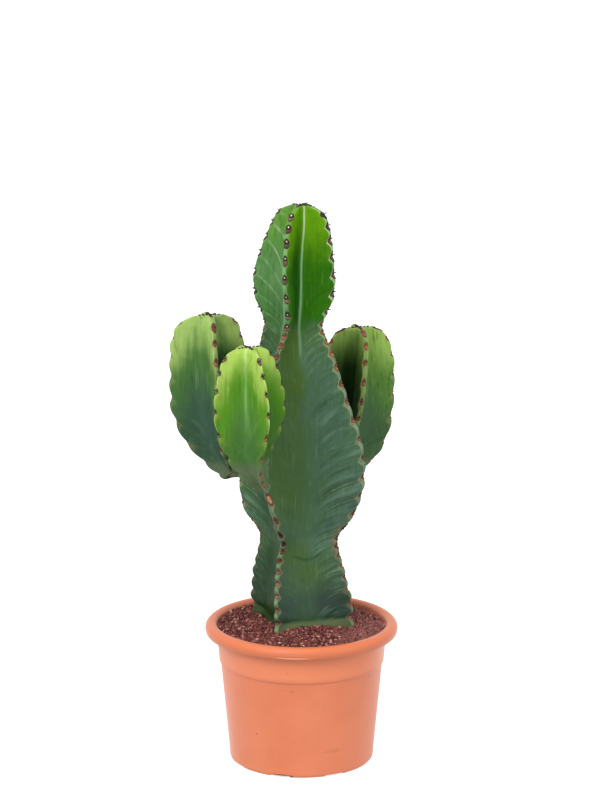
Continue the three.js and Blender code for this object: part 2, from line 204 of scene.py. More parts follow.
def lattice(i, j, k, seed):
    """Repeatable noise from 0 to 1 at whole-number places."""
    n = (i * 374761393 + j * 668265263 + k * 2147483647 + seed * 1274126177) & 0xFFFFFFFF
    n = ((n ^ (n >> 13)) * 1274126177) & 0xFFFFFFFF
    return ((n ^ (n >> 16)) & 0xFFFF) / 65535.0


def noise(points, size, seed=0):
    """Smooth noise from -1 to 1 with features of the given size."""
    scaled = np.asarray(points, float) / size
    cell = np.floor(scaled).astype(np.int64)
    f = scaled - cell
    f = f * f * (3 - 2 * f)
    total = np.zeros(len(scaled))
    for dx in (0, 1):
        for dy in (0, 1):
            for dz in (0, 1):
                weight = (np.abs(1 - dx - f[:, 0]) * np.abs(1 - dy - f[:, 1])
                          * np.abs(1 - dz - f[:, 2]))
                total += weight * lattice(cell[:, 0] + dx, cell[:, 1] + dy, cell[:, 2] + dz, seed)
    return 2 * total - 1


def unit(v):
    return v / np.maximum(np.linalg.norm(v, axis=-1, keepdims=True), 1e-9)


# ---------------------------------------------------------------- meshes

def make_piece(name, points_mm, faces, material, values=None, smooth_faces=True):
    """A mesh object from points in millimetres, with named values on its points."""
    mesh = bpy.data.meshes.new(name)
    mesh.from_pydata((np.asarray(points_mm, float) * MM).tolist(), [], faces)
    mesh.polygons.foreach_set("use_smooth", np.full(len(mesh.polygons), smooth_faces))
    for key, value in (values or {}).items():
        layer = mesh.attributes.new(key, "FLOAT", "POINT")
        layer.data.foreach_set("value", np.asarray(value, np.float32))
    mesh.materials.append(material)
    piece = bpy.data.objects.new(name, mesh)
    bpy.context.scene.collection.objects.link(piece)
    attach(piece, "root")
    return piece


def grid_faces(rows, columns):
    """Quads of a grid that closes on itself along its columns."""
    i, j = np.meshgrid(np.arange(rows - 1), np.arange(columns), indexing="ij")
    k = (j + 1) % columns
    return np.stack([i * columns + j, i * columns + k, (i + 1) * columns + k,
                     (i + 1) * columns + j], -1).reshape(-1, 4)


def grid_normals(points, rows, columns):
    """Outward directions on such a grid."""
    grid = points.reshape(rows, columns, 3)
    along = np.gradient(grid, axis=0)
    across = np.roll(grid, -1, axis=1) - np.roll(grid, 1, axis=1)
    return unit(np.cross(across, along)).reshape(-1, 3)


def fan(hub, ring):
    """Triangles from a hub to a closed ring of point numbers."""
    return [(hub, int(a), int(b)) for a, b in zip(ring, np.roll(ring, -1))]


def closed_faces(rows, columns):
    """Faces of such a grid that two more points close, one at its first row and one at its last."""
    ring = np.arange(columns)
    last = (rows - 1) * columns
    hub = rows * columns
    return grid_faces(rows, columns).tolist() + fan(hub, ring[::-1]) + fan(hub + 1, last + ring)


# ---------------------------------------------------------------- stems

def flank_share(depth):
    """0 on the rib's edge and 1 in the valley."""
    return np.clip((depth - EDGE_SHARE) / (1 - EDGE_SHARE), 0, 1)


def crease_wave(tooth):
    """Height of the folds: -1 in the crease at each tooth number and 0.9 between."""
    part = tooth - np.floor(tooth)
    return 1.9 * np.abs(np.sin(math.pi * part)) ** 1.6 - 1


class Stem:
    """One ribbed stem: its stations, the tooth number at each, and how its skin folds."""

    def __init__(self, name, heading, centres, rows, edge, folds):
        self.name = name
        self.heading = math.radians(heading)
        self.centres = np.array(centres, float)
        self.tilt, self.radius, self.valley, self.azimuth, self.spacing = np.array(rows, float).T
        self.edge = edge
        self.folds = folds
        steps = np.linalg.norm(np.diff(self.centres, axis=0), axis=1)
        teeth = 2 * steps / (self.spacing[1:] + self.spacing[:-1])
        self.teeth = np.concatenate([[0], np.cumsum(teeth)])
        self.last = self.teeth[-1]

    def value(self, values, tooth):
        return interpolate(self.teeth, values, tooth)

    def directions(self, tooth):
        """The middle and the two directions of the section at each tooth number."""
        tilt = np.radians(self.value(self.tilt, tooth))
        out = np.stack([np.cos(tilt) * math.sin(self.heading),
                        -np.cos(tilt) * math.cos(self.heading), -np.sin(tilt)], -1)
        side = np.array([math.cos(self.heading), math.sin(self.heading), 0.0])
        middle = np.stack([self.value(self.centres[:, k], tooth) for k in range(3)], -1)
        return middle, out, side

    def tip(self):
        return self.directions(np.array([self.last]))[0][0]

    def slant(self, tooth, depth):
        """How many teeth lower a fold lies at a depth than on the crest."""
        fade = np.clip(np.minimum(tooth / 2, (self.last - tooth) / 2.5), 0, 1)
        return (1.5 * depth + 0.6 * depth**3) * fade

    def level(self, tooth, depth):
        """The tooth number of the section that a fold has come down to at a depth."""
        return np.clip(tooth - self.slant(tooth, depth), 0, self.last)

    def half_width(self, tooth):
        return np.minimum(self.edge, 0.22 * self.value(self.radius, tooth) + 1)

    def lobe(self, tooth):
        """Round lobes between the notches, from 0 to 1."""
        part = tooth - np.floor(tooth)
        return np.abs(np.sin(math.pi * part**1.45)) ** 0.8

    def edge_rise(self, tooth, rib, level):
        """How far the rib's edge stands out, which differs a little from tooth to tooth."""
        step = np.floor(tooth).astype(np.int64)
        odd = 0.78 + 0.44 * lattice(step, np.asarray(rib) % RIBS + 0 * step, 0, 9)
        height = self.value(self.centres[:, 2], level)
        at_foot = smooth(335, 295, height) * smooth(196, 210, height)
        depth = TOOTH_DEPTH + FOOT_TOOTH_DEPTH * at_foot
        return depth * self.value(self.spacing, tooth) * self.lobe(tooth) * odd

    def fold_strength(self, tooth, around, level):
        """How strong the folds are, which differs a little from one fold to the next."""
        step = np.floor(tooth).astype(np.int64)
        part = tooth - step
        half_face = np.floor(np.asarray(around) * 2).astype(np.int64)
        low = lattice(step, half_face, 0, 7)
        high = lattice(step + 1, half_face, 0, 7)
        ease = part * part * (3 - 2 * part)
        own = 0.25 + 1.3 * (low + (high - low) * ease)
        return own * self.folds(np.asarray(around), self.value(self.centres[:, 2], level))

    def fold_height(self, tooth, around, level, share):
        """How far the folds push the flank out."""
        fade = np.clip(np.minimum(tooth / 2, (self.last - tooth) / 2), 0, 1)
        strength = self.fold_strength(tooth, around, level) * fade * share**0.6 * (1 - share)**1.2
        return CREASE_DEPTH * self.value(self.spacing, tooth) * crease_wave(tooth) * strength

    def skin(self, tooth, rib, depth, hand):
        """Points of the skin. depth is 0 on the rib's crest and 1 in the valley, hand is the side.

        In the section, p runs out along the rib and q across it: a round crest, then the flank as a
        curve with four poles.
        """
        level = self.level(tooth, depth)
        share = flank_share(depth)
        radius = self.value(self.radius, level)
        low = radius * self.value(self.valley, level) / math.sqrt(2)
        half = self.half_width(level) * (1 - 0.18 * self.lobe(tooth))
        edge = radius + self.edge_rise(tooth, rib, level) * (1 - share) ** 3
        turn = np.clip(depth / EDGE_SHARE, 0, 1) * math.pi / 2
        crest_p = edge - 0.8 * half * (1 - np.cos(turn))
        crest_q = half * np.sin(turn)
        start = edge - 0.8 * half
        reach = np.hypot(start - low, half - low)
        a, b, c, d = (1 - share)**3, 3 * share * (1 - share)**2, 3 * share**2 * (1 - share), share**3
        flank_p = a * start + b * (start - 0.42 * reach) + c * (low + 0.22 * reach) + d * low
        flank_q = a * half + b * (half + 0.10 * reach) + c * (low - 0.22 * reach) + d * low
        around = (rib + hand * depth / 2) % RIBS
        flank_q = flank_q + self.fold_height(tooth, around, level, share)
        on_edge = depth < EDGE_SHARE
        p = np.where(on_edge, crest_p, flank_p)
        q = np.where(on_edge, crest_q, flank_q) * hand
        angle = np.radians(self.value(self.azimuth, level)) + rib * 2 * math.pi / RIBS
        along = p * np.cos(angle) - q * np.sin(angle)
        across = p * np.sin(angle) + q * np.cos(angle)
        middle, out, side = self.directions(level)
        return middle + along[..., None] * out + across[..., None] * side


def trunk_folds(around, z):
    """Strong above the waist and on the left of the top part, weak elsewhere."""
    above_waist = bump(z, 376, 58)
    turned_away = smooth(0.45, 0.75, around) * smooth(3.6, 3.0, around)
    left = smooth(2.95, 3.1, around)
    top = smooth(596, 640, z)
    return (0.16 - 0.12 * top + above_waist * (0.2 + 0.85 * turned_away)
            + 0.35 * left * smooth(600, 480, z) + 0.5 * top * smooth(2.3, 2.9, around))


def arm_folds(around, z):
    return 0.12 + 0.2 * bump(z, 440, 45)


def trunk_stem():
    centres = [(x, TRUNK_Y, z) for x, z, *_ in TRUNK_STATIONS]
    rows = [(0, *row[2:]) for row in TRUNK_STATIONS]
    return Stem("trunk", 0, centres, rows, 4.2, trunk_folds)


def arm_stem(name, settings, edge):
    heading, stations = settings
    out_x = math.sin(math.radians(heading))
    out_y = -math.cos(math.radians(heading))
    centres = [(TRUNK_X + out * out_x, TRUNK_Y + out * out_y, z) for out, z, *_ in stations]
    return Stem(name, heading, centres, [row[2:] for row in stations], edge, arm_folds)


def skin_columns():
    """rib, depth and hand of each point round a section, from one crest to the next."""
    edge = np.linspace(0, EDGE_SHARE, EDGE_COLUMNS, endpoint=False)
    flank = EDGE_SHARE + (1 - EDGE_SHARE) * np.linspace(0, 1, FLANK_COLUMNS) ** 1.45
    down = np.concatenate([edge, flank])
    rib, depth, hand = [], [], []
    for k in range(RIBS):
        rib += [k] * len(down) + [k + 1] * (len(down) - 2)
        depth += list(down) + list(down[-2:0:-1])
        hand += [1] * len(down) + [-1] * (len(down) - 2)
    return np.array(rib), np.array(depth), np.array(hand)


def skin_values(stem, points, tooth, rib, depth, hand):
    """The patterns that the skin's material reads, one value per point."""
    level = stem.level(tooth, depth)
    around = (rib + hand * depth / 2) % RIBS
    part = tooth - np.floor(tooth)
    along = np.minimum(part, 1 - part) * stem.value(stem.spacing, tooth)
    half = stem.half_width(level)
    radius = stem.value(stem.radius, level)
    share = flank_share(depth)
    arc = 1.35 * half * np.minimum(depth / EDGE_SHARE, 1) + share * radius * 0.8
    from_valley = (1 - depth) * radius * 0.8
    near_shield = bump(along, 0, 5.5)
    z = points[:, 2]
    worn, edged, outlined, lined = MARGINS[stem.name](z, rib % RIBS, around)
    band = half * (0.55 + (0.7 - 0.25 * smooth(600, 640, z)) * near_shield)
    outline, thin = (0.3, 0.5) if stem.name == "front_arm" else (band + 0.9, 0.7)
    beaded = smooth(345, 315, z) + 0.8 * smooth(600, 640, z) * smooth(775, 740, z)
    strength = stem.fold_strength(tooth, around, level) * smooth(0, 0.12, share)
    looks = LOOKS[stem.name](points, around, depth, stem)
    patch = bump(z, 314, 20) * bump(around, 0.98, 0.07) * (1 + 0.8 * noise(points, 6, 17))
    return {
        **looks,
        "flow": tooth,
        "span": around + 0.02 * arc,
        "crest": (1 - smooth(band, band + 1.6, arc)) * edged,
        "rim": bump(arc, outline, thin) * outlined,
        "rust": near_shield * (1 - smooth(1.3 * half, 1.3 * half + 6, arc)) * worn,
        "bead": (1 - near_shield)**2 * (1 - smooth(0.3 * half, 0.8 * half, arc)) * beaded,
        # Painted highlight on the folds' ridges and painted shade in their creases, and a painted
        # highlight line along each fold, strongest where the sheen is painted.
        "fold": crease_wave(tooth) * strength * smooth(1, 0.6, share),
        "vein": bump(along, 0, 1.2) * strength * smooth(0.98, 0.7, share)
                * (0.25 * looks["flank"] + 1.6 * looks["haze"]),
        "valley": bump(from_valley, 0, 1.1 + 0.9 * smooth(720, 620, z)) * lined,
        "bark": patch * (stem.name == "trunk"),
        "joint": JOINTS[stem.name] * bump(tooth, 0.25, 0.17),
    }


def trunk_margins(z, rib, around):
    """How rusty the skin beside the shields is, how marked the crest, its outline and the valley are."""
    top = smooth(600, 640, z)
    worn = (0.16 + 0.45 * bump(z, 335, 50)) * (1 - top)
    right = smooth(0.45, 0.55, around) * smooth(1.02, 0.98, around)
    edged = 1 - top * (0.8 - 0.8 * right)
    low = np.array([0.3, 0.62, 0.3, 0.75])[rib] * smooth(345, 310, z)
    lined = smooth(560, 600, z) * (0.45 + 0.4 * smooth(600, 640, z))
    return worn, edged * (1 - low), edged * (1 - low), lined


def left_margins(z, rib, around):
    worn = np.where(rib == 0, 0.08, 0.55) * smooth(395, 430, z)
    edged = np.where(rib == 0, 0.35, 1.0) * smooth(400, 430, z)
    return worn, edged, edged, 0.17 * smooth(480, 560, z)


def front_margins(z, rib, around):
    worn = 0.35 * smooth(440, 480, z)
    edged = smooth(452, 480, z) * (0.3 + 0.3 * smooth(500, 560, z))
    low = np.where(rib == 3, 0.6, 0.15) * smooth(400, 425, z)
    return worn, edged, np.maximum(low, smooth(470, 500, z)), 0.5 * smooth(470, 560, z)


def right_margins(z, rib, around):
    worn = np.where(rib == 3, 0.15, 0.6) * smooth(410, 440, z)
    edged = np.where(rib == 3, 0.5, 1.0) * smooth(400, 430, z)
    return worn, edged, edged, 0.13 * smooth(450, 530, z)


MARGINS = {"trunk": trunk_margins, "left_arm": left_margins, "front_arm": front_margins,
           "right_arm": right_margins}

# How dark the corky joint is where each arm leaves the trunk.
JOINTS = {"trunk": 0.0, "left_arm": 0.9, "front_arm": 0.0, "right_arm": 0.6}


def trunk_look(points, around, depth, stem):
    """How young, olive, waxy, corky and wrinkled the trunk is, with its painted shade, painted sheen and
    painted shade at the foot.
    """
    x = points[:, 0] - TRUNK_FRONT_X
    z = points[:, 2]
    top = smooth(598, 632, z + 8 * noise(points, 18, 16))
    face = np.floor(around * 2)
    left = smooth(2.9, 3.05, around)
    front = smooth(1.1, 0.9, around)
    wander = 0.05 * noise(points, 45, 11)
    by_face = np.where(face == 0, 0.16 * smooth(0.3, 0.05, around), np.where(face == 1, 0.07, 0.0))
    young = top * (0.52 + by_face + 0.4 * smooth(680, 772, z))
    middle = smooth(0.03, 0.16, around + wander) * smooth(0.58, 0.46, around + wander)
    olive = (1 - top) * middle * (0.85 + 0.3 * noise(points, 60, 12))
    olive = olive + (1 - top) * 0.6 * bump(around + wander, 2.3, 0.2)
    heart = bump(x, 0, 32) * bump(z, 268, 22) * smooth(0.02, 0.1, around) * front
    olive = np.maximum(olive * smooth(232, 300, z), heart)
    olive = olive * (1 - 0.5 * bump(z, 330, 26))
    bloom = (1 - top) * (0.62 + 0.35 * noise(points, 38, 13)) * (1 - 0.8 * olive)
    bloom = bloom * (1 - 0.9 * bump(z, 600, 28)) + 0.4 * bump(z, 385, 36) * bump(around, 0.86, 0.13)
    bloom = bloom + 0.3 * bump(z, 332, 24) * front
    bloom = bloom + 0.4 * top * left * smooth(680, 630, z) * smooth(0.2, 0.7, depth)
    # Painted sheen: the top segment's left face made lighter and bluish, as where its wax catches the
    # light.
    haze = top * left * (0.8 + 0.2 * noise(points, 30, 18)) * (0.6 + 0.4 * smooth(630, 680, z))
    haze = haze * (1 - 0.5 * smooth(700, 765, z))
    right = smooth(0.45, 0.8, around) * smooth(1.02, 0.95, around)
    # Painted shade: the trunk's foot darker and greyer towards the soil, most on its right face.
    damp = smooth(305, 245, z) * smooth(197, 206, z) * (0.72 + 0.3 * noise(points, 25, 14))
    damp = np.clip(damp * (0.75 + 0.75 * right), 0, 0.95) * (1 - 0.8 * heart)
    # Painted shade: a dark line in the smiling crease, the top segment's face beside the valley, the left
    # face under the arms and the crease at the soil.
    smile = bump(z, 296 - 9 * bump(x, 0, 17), 1.9) * smooth(26, 12, np.abs(x)) * front
    inner = top * (face == 0) * (0.1 + 0.55 * smooth(0.12, 0.36, around) * smooth(0.48, 0.4, around))
    beneath = 0.5 * smooth(470, 380, z) * smooth(0.2, 0.6, depth) + 0.4 * smooth(330, 270, z)
    beneath = beneath * left * smooth(3.98, 3.75, around)
    uneven = 1.5 * noise(points, 12, 15)
    crease = bump(z, 204.5 + uneven, 2.2)
    shade = 0.5 * smile + inner * smooth(775, 700, z) + beneath + 0.5 * crease
    flank = smooth(1.0, 0.5, depth) * np.where(face == 0, 0.18, 1.0)
    return {"young": young, "olive": olive, "bloom": bloom, "shade": shade, "haze": haze, "damp": damp,
            "callus": smooth(203, 197, z + uneven), "flank": flank}


def arm_look(points, around, depth, stem):
    """The same over an arm, which has no olive, painted sheen or painted shade at the foot."""
    z = points[:, 2]
    down = stem.centres[-1, 2] - z
    margin = smooth(0.8, 0.15, depth)
    wander = 14 * noise(points, 40, 21)
    green_down, margin_green, neck_low, neck_high = ARM_AGES[stem.name]
    young = 0.93 * smooth(green_down, -12, down + wander) + margin_green * margin * smooth(230, 80, down)
    bloom = smooth(40, 150, down + wander) * (0.15 + 0.85 * smooth(0.25, 0.85, depth))
    neck = smooth(neck_high, neck_low, z + 0.2 * wander)
    # Painted shade on the faces sheltered between a rib and the trunk.
    shade = np.zeros(len(points))
    for first, strength, low, high in SHADED_FACES[stem.name]:
        there = smooth(first, first + 0.08, around) * smooth(first + 1.0, first + 0.92, around)
        reach = np.maximum(smooth(0.25, 0.75, depth), 0.85 * smooth(0.06, 0.2, depth))
        shade = np.maximum(shade, strength * there * reach * smooth(high, low, z))
    none = np.zeros(len(points))
    grown = 1 - neck
    return {"young": young * grown, "olive": none, "bloom": bloom * grown, "shade": shade * grown,
            "haze": none, "damp": none, "callus": 0.9 * neck, "flank": 0.35 * smooth(1.0, 0.6, depth)}


LOOKS = {"trunk": trunk_look, "left_arm": arm_look, "front_arm": arm_look, "right_arm": arm_look}

# How far down an arm its young green goes, how much of it the margins keep, and the neck's heights.
ARM_AGES = {
    "left_arm": (160, 0.25, 396, 408),
    "front_arm": (155, 0.26, 443, 460),
    "right_arm": (165, 0.14, 392, 402),
}

# Faces that lie sheltered between a rib and the trunk, where shade is painted: first rib, darkness, and
# heights of full and none.
SHADED_FACES = {
    "left_arm": [(1, 0.95, 540, 585)],
    "front_arm": [(0, 0.6, 545, 605), (1, 0.8, 500, 570)],
    "right_arm": [(1, 1.0, 520, 590), (0, 0.7, 470, 540)],
}


def skin_start(stem, first):
    """The ring that the skin starts from: under the soil, or in the trunk's rib."""
    middle = first.mean(axis=0)
    if stem.name == "trunk":
        return middle + (first - middle) * FOOT_TAPER - np.array([0, 0, FOOT_DEPTH])
    _, out, side = stem.directions(np.array([0.0]))
    return middle + (first - middle) * NECK_TAPER + np.cross(side, out[0]) * NECK_DEPTH


def build_skin(stem, material):
    """The stem's skin as a fine closed mesh, with the values that its material reads."""
    columns = skin_columns()
    count = len(columns[0])
    rows = int(stem.last * ROWS_PER_TOOTH) + 1
    tooth = np.repeat(np.linspace(0, stem.last, rows), count)
    rib, depth, hand = (np.tile(column, rows) for column in columns)
    points = stem.skin(tooth, rib, depth, hand)
    normals = grid_normals(points, rows, count)
    swell = 0.5 * noise(points, 22, 3) + 0.2 * noise(points, 8, 4) + 0.05 * noise(points, 2.6, 5)
    ease = smooth(0, 0.6, tooth) * smooth(0, 0.5, stem.last - tooth)
    points = points + normals * (swell * ease * smooth(0.1, 0.4, depth))[:, None]
    values = skin_values(stem, points, tooth, rib, depth, hand)
    values = {key: np.concatenate([value[:count], value, value[-2:]]) for key, value in values.items()}
    start = skin_start(stem, points[:count])
    top = stem.tip() + np.array([0, 0, TIP_RISE])
    points = np.concatenate([start, points, [start.mean(axis=0), top]])
    faces = closed_faces(rows + 1, count)
    piece = make_piece(stem.name + "_skin", points, faces, material, values)
    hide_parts(stem.name)


# ---------------------------------------------------------------- spine shields

SHIELD_RINGS = np.array([0.18, 0.34, 0.5, 0.64, 0.76, 0.85, 0.92, 1.0])
SHIELD_SEGMENTS = 22
BUD_PLACE = 0.36
REACH_STEPS = 40
SPINE_SIDES = 7
SPINE_PLACES = (2, 9)
SPINE_SINK = 0.4


def shield_height(r, bud, size):
    """Height of a shield over the skin: a thin dome with a raised border and a scar with a dot."""
    dome = 0.75 * (1 - r**4) + 0.35 * bump(r, 0.84, 0.1) - 0.75 * smooth(0.9, 1.0, r)
    scar = 0.4 * bump(bud, 0.34, 0.12) + 0.45 * bump(bud, 0, 0.14) - 0.25 * bump(bud, 0.2, 0.07)
    return size * (0.25 + dome + scar)


def shield_patch(stem, tooth, rib, half_wide, half_tall, aside, rng):
    """Points of one shield that wraps the rib's edge, a little aside of it, and their values."""
    reach = np.linspace(0, 0.4, REACH_STEPS)
    steps = stem.skin(np.full(REACH_STEPS, tooth), rib, reach, 1)
    length = np.concatenate([[0], np.cumsum(np.linalg.norm(np.diff(steps, axis=0), axis=1))])
    angle = np.arange(SHIELD_SEGMENTS) * 2 * math.pi / SHIELD_SEGMENTS
    wobble = 1 + 0.07 * np.sin(2 * angle + rng.uniform(0, 6))
    wobble = wobble + 0.05 * np.sin(5 * angle + rng.uniform(0, 6))
    r = np.concatenate([[0], np.repeat(SHIELD_RINGS, SHIELD_SEGMENTS)])
    a = np.concatenate([[0], np.tile(angle, len(SHIELD_RINGS))])
    w = np.concatenate([[1], np.tile(wobble, len(SHIELD_RINGS))])
    u = r * w * np.cos(a)
    v = r * w * np.sin(a)
    across = u * half_wide * (1 - 0.16 * v) + aside
    along = v * half_tall
    depth = np.interp(np.abs(across), length, reach)
    spacing = float(stem.value(stem.spacing, tooth))
    at = tooth + along / spacing
    at = at + stem.slant(at, depth)
    points = stem.skin(at, rib, depth, np.where(across < 0, -1, 1))
    ring_points = points[1:].reshape(len(SHIELD_RINGS), SHIELD_SEGMENTS, 3)
    radial = ring_points - points[0]
    turning = np.roll(ring_points, -1, axis=1) - np.roll(ring_points, 1, axis=1)
    normals = unit(np.cross(radial, turning))
    outward = unit(points[0] - stem.directions(np.array([tooth]))[0][0])
    if (normals[0] @ outward).mean() < 0:
        normals = -normals
    centre_normal = unit(normals[0].mean(axis=0))
    normals = np.concatenate([[centre_normal], normals.reshape(-1, 3)])
    bud = np.hypot(u, (v - BUD_PLACE) * half_tall / half_wide)
    points = points + normals * shield_height(r, bud, half_wide / 5)[:, None]
    return points, normals, r, bud


def cone(base, direction, radius, length):
    """A spine of three rings and a tip: points and faces."""
    direction = unit(direction)
    helper = np.array([0.0, 0.0, 1.0]) if abs(direction[2]) < 0.9 else np.array([1.0, 0.0, 0.0])
    u = unit(np.cross(direction, helper))
    v = np.cross(direction, u)
    angle = np.arange(SPINE_SIDES) * 2 * math.pi / SPINE_SIDES
    circle = np.cos(angle)[:, None] * u + np.sin(angle)[:, None] * v
    rings = [base + circle * radius * share + direction * away
             for share, away in ((1, -SPINE_SINK), (0.72, 0.35 * length), (0.4, 0.72 * length))]
    points = np.concatenate(rings + [[base + direction * length]])
    tip = fan(3 * SPINE_SIDES, 2 * SPINE_SIDES + np.arange(SPINE_SIDES))
    return points, grid_faces(3, SPINE_SIDES).tolist() + tip


class Parts:
    """Small parts that are gathered into one mesh, with values per point."""

    def __init__(self, keys):
        self.points, self.faces, self.count = [], [], 0
        self.values = {key: [] for key in keys}

    def add(self, points, faces, **values):
        self.points.append(np.asarray(points, float))
        self.faces += [tuple(int(i) + self.count for i in face) for face in faces]
        for key, store in self.values.items():
            store.append(np.broadcast_to(np.asarray(values.get(key, 0.0), float), (len(points),)))
        self.count += len(points)

    def piece(self, name, slot, material, smooth_faces=True):
        values = {key: np.concatenate(store) for key, store in self.values.items()}
        return make_piece(name, np.concatenate(self.points), self.faces, material, values,
                          smooth_faces)


def patch_faces():
    """Faces of a shield: a fan round its middle point and its rings."""
    rings = grid_faces(len(SHIELD_RINGS), SHIELD_SEGMENTS) + 1
    return fan(0, 1 + np.arange(SHIELD_SEGMENTS)) + rings[:, ::-1].tolist()


def trunk_shield_size(z):
    """Half the width and height of the trunk's shields by their height on it."""
    waist = bump(z, 345, 45)
    body = bump(z, 530, 85)
    top = float(smooth(590, 650, z))
    return (3.3 + 2.8 * waist + 1.6 * body + 2.2 * top,
            3.5 + 2.6 * waist + 1.9 * body + 4.4 * top)


# Large scars on the trunk's front rib: height, half width, half height and how tan it is.
SCARS = [(389, 8.4, 9.4, 1.0), (569, 5.2, 6.4, 0.45)]

# Shields that have shrunk or turned tan: stem, rib, heights from and to, share of the size and tan.
FADED = [("left_arm", 0, 0, 620, 0.5, 0.3), ("front_arm", 3, 0, 485, 0.0, 0.0),
         ("front_arm", 0, 0, 500, 1.25, 0.5), ("front_arm", 1, 0, 480, 0.5, 0.3)]


def faded(stem, rib, height):
    """What share of its size a shield has kept and how tan it is."""
    for name, faded_rib, low, high, share, tan in FADED:
        if stem.name == name and rib == faded_rib and low < height < high:
            return share, tan
    return 1.0, 0.0


def scarred(height, spacing, form):
    """The form of a shield on the trunk's front rib, or of the large scar in its place."""
    for scar_height, half_wide, half_tall, tan in SCARS:
        if abs(height - scar_height) < spacing / 2:
            return half_wide, half_tall, tan, 5.0 * tan, (scar_height - height) / spacing
    aside = 2.3 * float(smooth(450, 380, height)) * float(smooth(290, 310, height)) + 0.6
    return *form, aside, 0.0


def add_shield(stem, rib, tooth, size, young_from, parts, rng):
    """One shield with its pair of spines."""
    spacing = float(stem.value(stem.spacing, tooth))
    height = float(stem.value(stem.centres[:, 2], tooth))
    wide, tall = size(height)
    half_tall = min(tall * rng.uniform(0.88, 1.12), 0.4 * spacing)
    half_wide = min(wide * rng.uniform(0.9, 1.1), 1.15 * half_tall,
                    0.16 * float(stem.value(stem.radius, tooth)) + 2)
    share, tan = faded(stem, rib, height)
    if share == 0:
        return
    form = (half_wide * share, half_tall * share, tan)
    aside, shift, burnt = 0.0, 0.0, 0.0
    if stem.name == "trunk":
        burnt = float(bump(height, 330, 34))
        if rib == 0:
            *form, aside, shift = scarred(height, spacing, form)
    half_wide, half_tall, tan = form
    points, normals, r, bud = shield_patch(stem, tooth + shift, rib, half_wide, half_tall, aside, rng)
    age = float(smooth(young_from + 12, young_from - 22, height + rng.uniform(-8, 8)))
    parts.add(points, patch_faces(), r=r, bud=bud, tone=rng.uniform(0, 1), age=age, burnt=burnt, tan=tan)
    for place in SPINE_PLACES:
        base = points[1 + SHIELD_SEGMENTS + place]
        direction = normals[0] + unit(base - points[0]) * 0.9
        length = rng.uniform(3.6, 5.4) * (1 - 0.66 * age) * (1 - tan)
        spine = cone(base, direction, 0.95 - 0.35 * age, max(length, 0.6))
        parts.add(*spine, tone=rng.uniform(0, 1), age=age, spine=1)


def build_shields(stem, material, size, young_from, seed):
    """Every shield of a stem, and the young growth at its tip."""
    rng = np.random.default_rng(seed)
    parts = Parts(["r", "bud", "tone", "age", "spine", "burnt", "tan"])
    first = 1 if stem.name == "trunk" else 2
    for rib in range(RIBS):
        for tooth in range(first, int(stem.last - 0.15) + 1):
            add_shield(stem, rib, float(tooth), size, young_from, parts, rng)
    add_tip(stem, parts, rng)
    parts.piece(stem.name + "_shields", stem.name + "_skin", material)


def add_tip(stem, parts, rng):
    """Crowded dark buds and spines round the growing point."""
    middle = stem.tip()
    for rib in range(RIBS):
        angle = math.radians(stem.azimuth[-1]) + stem.heading + rib * math.pi / 2
        way = np.array([math.sin(angle), -math.cos(angle), 0.0])
        for away, size in ((3.0, 2.3), (8.0, 2.8), (13.0, 2.6)):
            base = middle + way * (away + rng.uniform(-0.6, 0.6)) + np.array([0, 0, 0.7 - 0.08 * away])
            parts.add(*pebble(base, size, rng), tone=rng.uniform(0, 1), spine=0.8)
            for turn in (-0.5, 0.5):
                lean = np.array([way[0] * math.cos(turn) - way[1] * math.sin(turn),
                                 way[0] * math.sin(turn) + way[1] * math.cos(turn), 1.1])
                parts.add(*cone(base, lean, 0.55, size * 1.7), tone=rng.uniform(0, 1), spine=1)


def icosahedron():
    """Points and faces of a 20-sided ball of radius 1."""
    g = (1 + math.sqrt(5)) / 2
    points = unit(np.array([(-1, g, 0), (1, g, 0), (-1, -g, 0), (1, -g, 0), (0, -1, g), (0, 1, g),
                            (0, -1, -g), (0, 1, -g), (g, 0, -1), (g, 0, 1), (-g, 0, -1), (-g, 0, 1)],
                           float))
    faces = [(0, 11, 5), (0, 5, 1), (0, 1, 7), (0, 7, 10), (0, 10, 11), (1, 5, 9), (5, 11, 4),
             (11, 10, 2), (10, 7, 6), (7, 1, 8), (3, 9, 4), (3, 4, 2), (3, 2, 6), (3, 6, 8), (3, 8, 9),
             (4, 9, 5), (2, 4, 11), (6, 2, 10), (8, 6, 7), (9, 8, 1)]
    return points, faces


ICO_POINTS, ICO_FACES = icosahedron()


def pebble(centre, size, rng):
    """A jittered, flattened and turned 20-sided grain."""
    points = ICO_POINTS * rng.uniform(0.78, 1.18, (12, 1))
    points = points * rng.uniform(0.65, 1.25, (1, 3))
    q, _ = np.linalg.qr(rng.normal(size=(3, 3)))
    if np.linalg.det(q) < 0:
        q[:, 0] = -q[:, 0]
    return centre + points @ q.T * size, ICO_FACES


# ---------------------------------------------------------------- soil

def soil_surface(x, y):
    """Height of the soil's surface before its grains."""
    x = np.asarray(x, float)
    y = np.asarray(y, float)
    away = np.hypot(x - TRUNK_X, y - TRUNK_Y)
    front = smooth(60, -40, y)
    mound = 6.5 * np.exp(-np.clip(away - 42, 0, None) ** 2 / 30**2) * front
    edge = np.hypot(x, y)
    wall = 1.6 * smooth(96, 117, edge)
    lean = -0.012 * x
    flat = np.stack([x, y, np.zeros_like(x)], -1)
    lumps = 1.0 * noise(flat.reshape(-1, 3), 26, 31).reshape(x.shape)
    return SOIL_LEVEL + mound + wall + lean + lumps


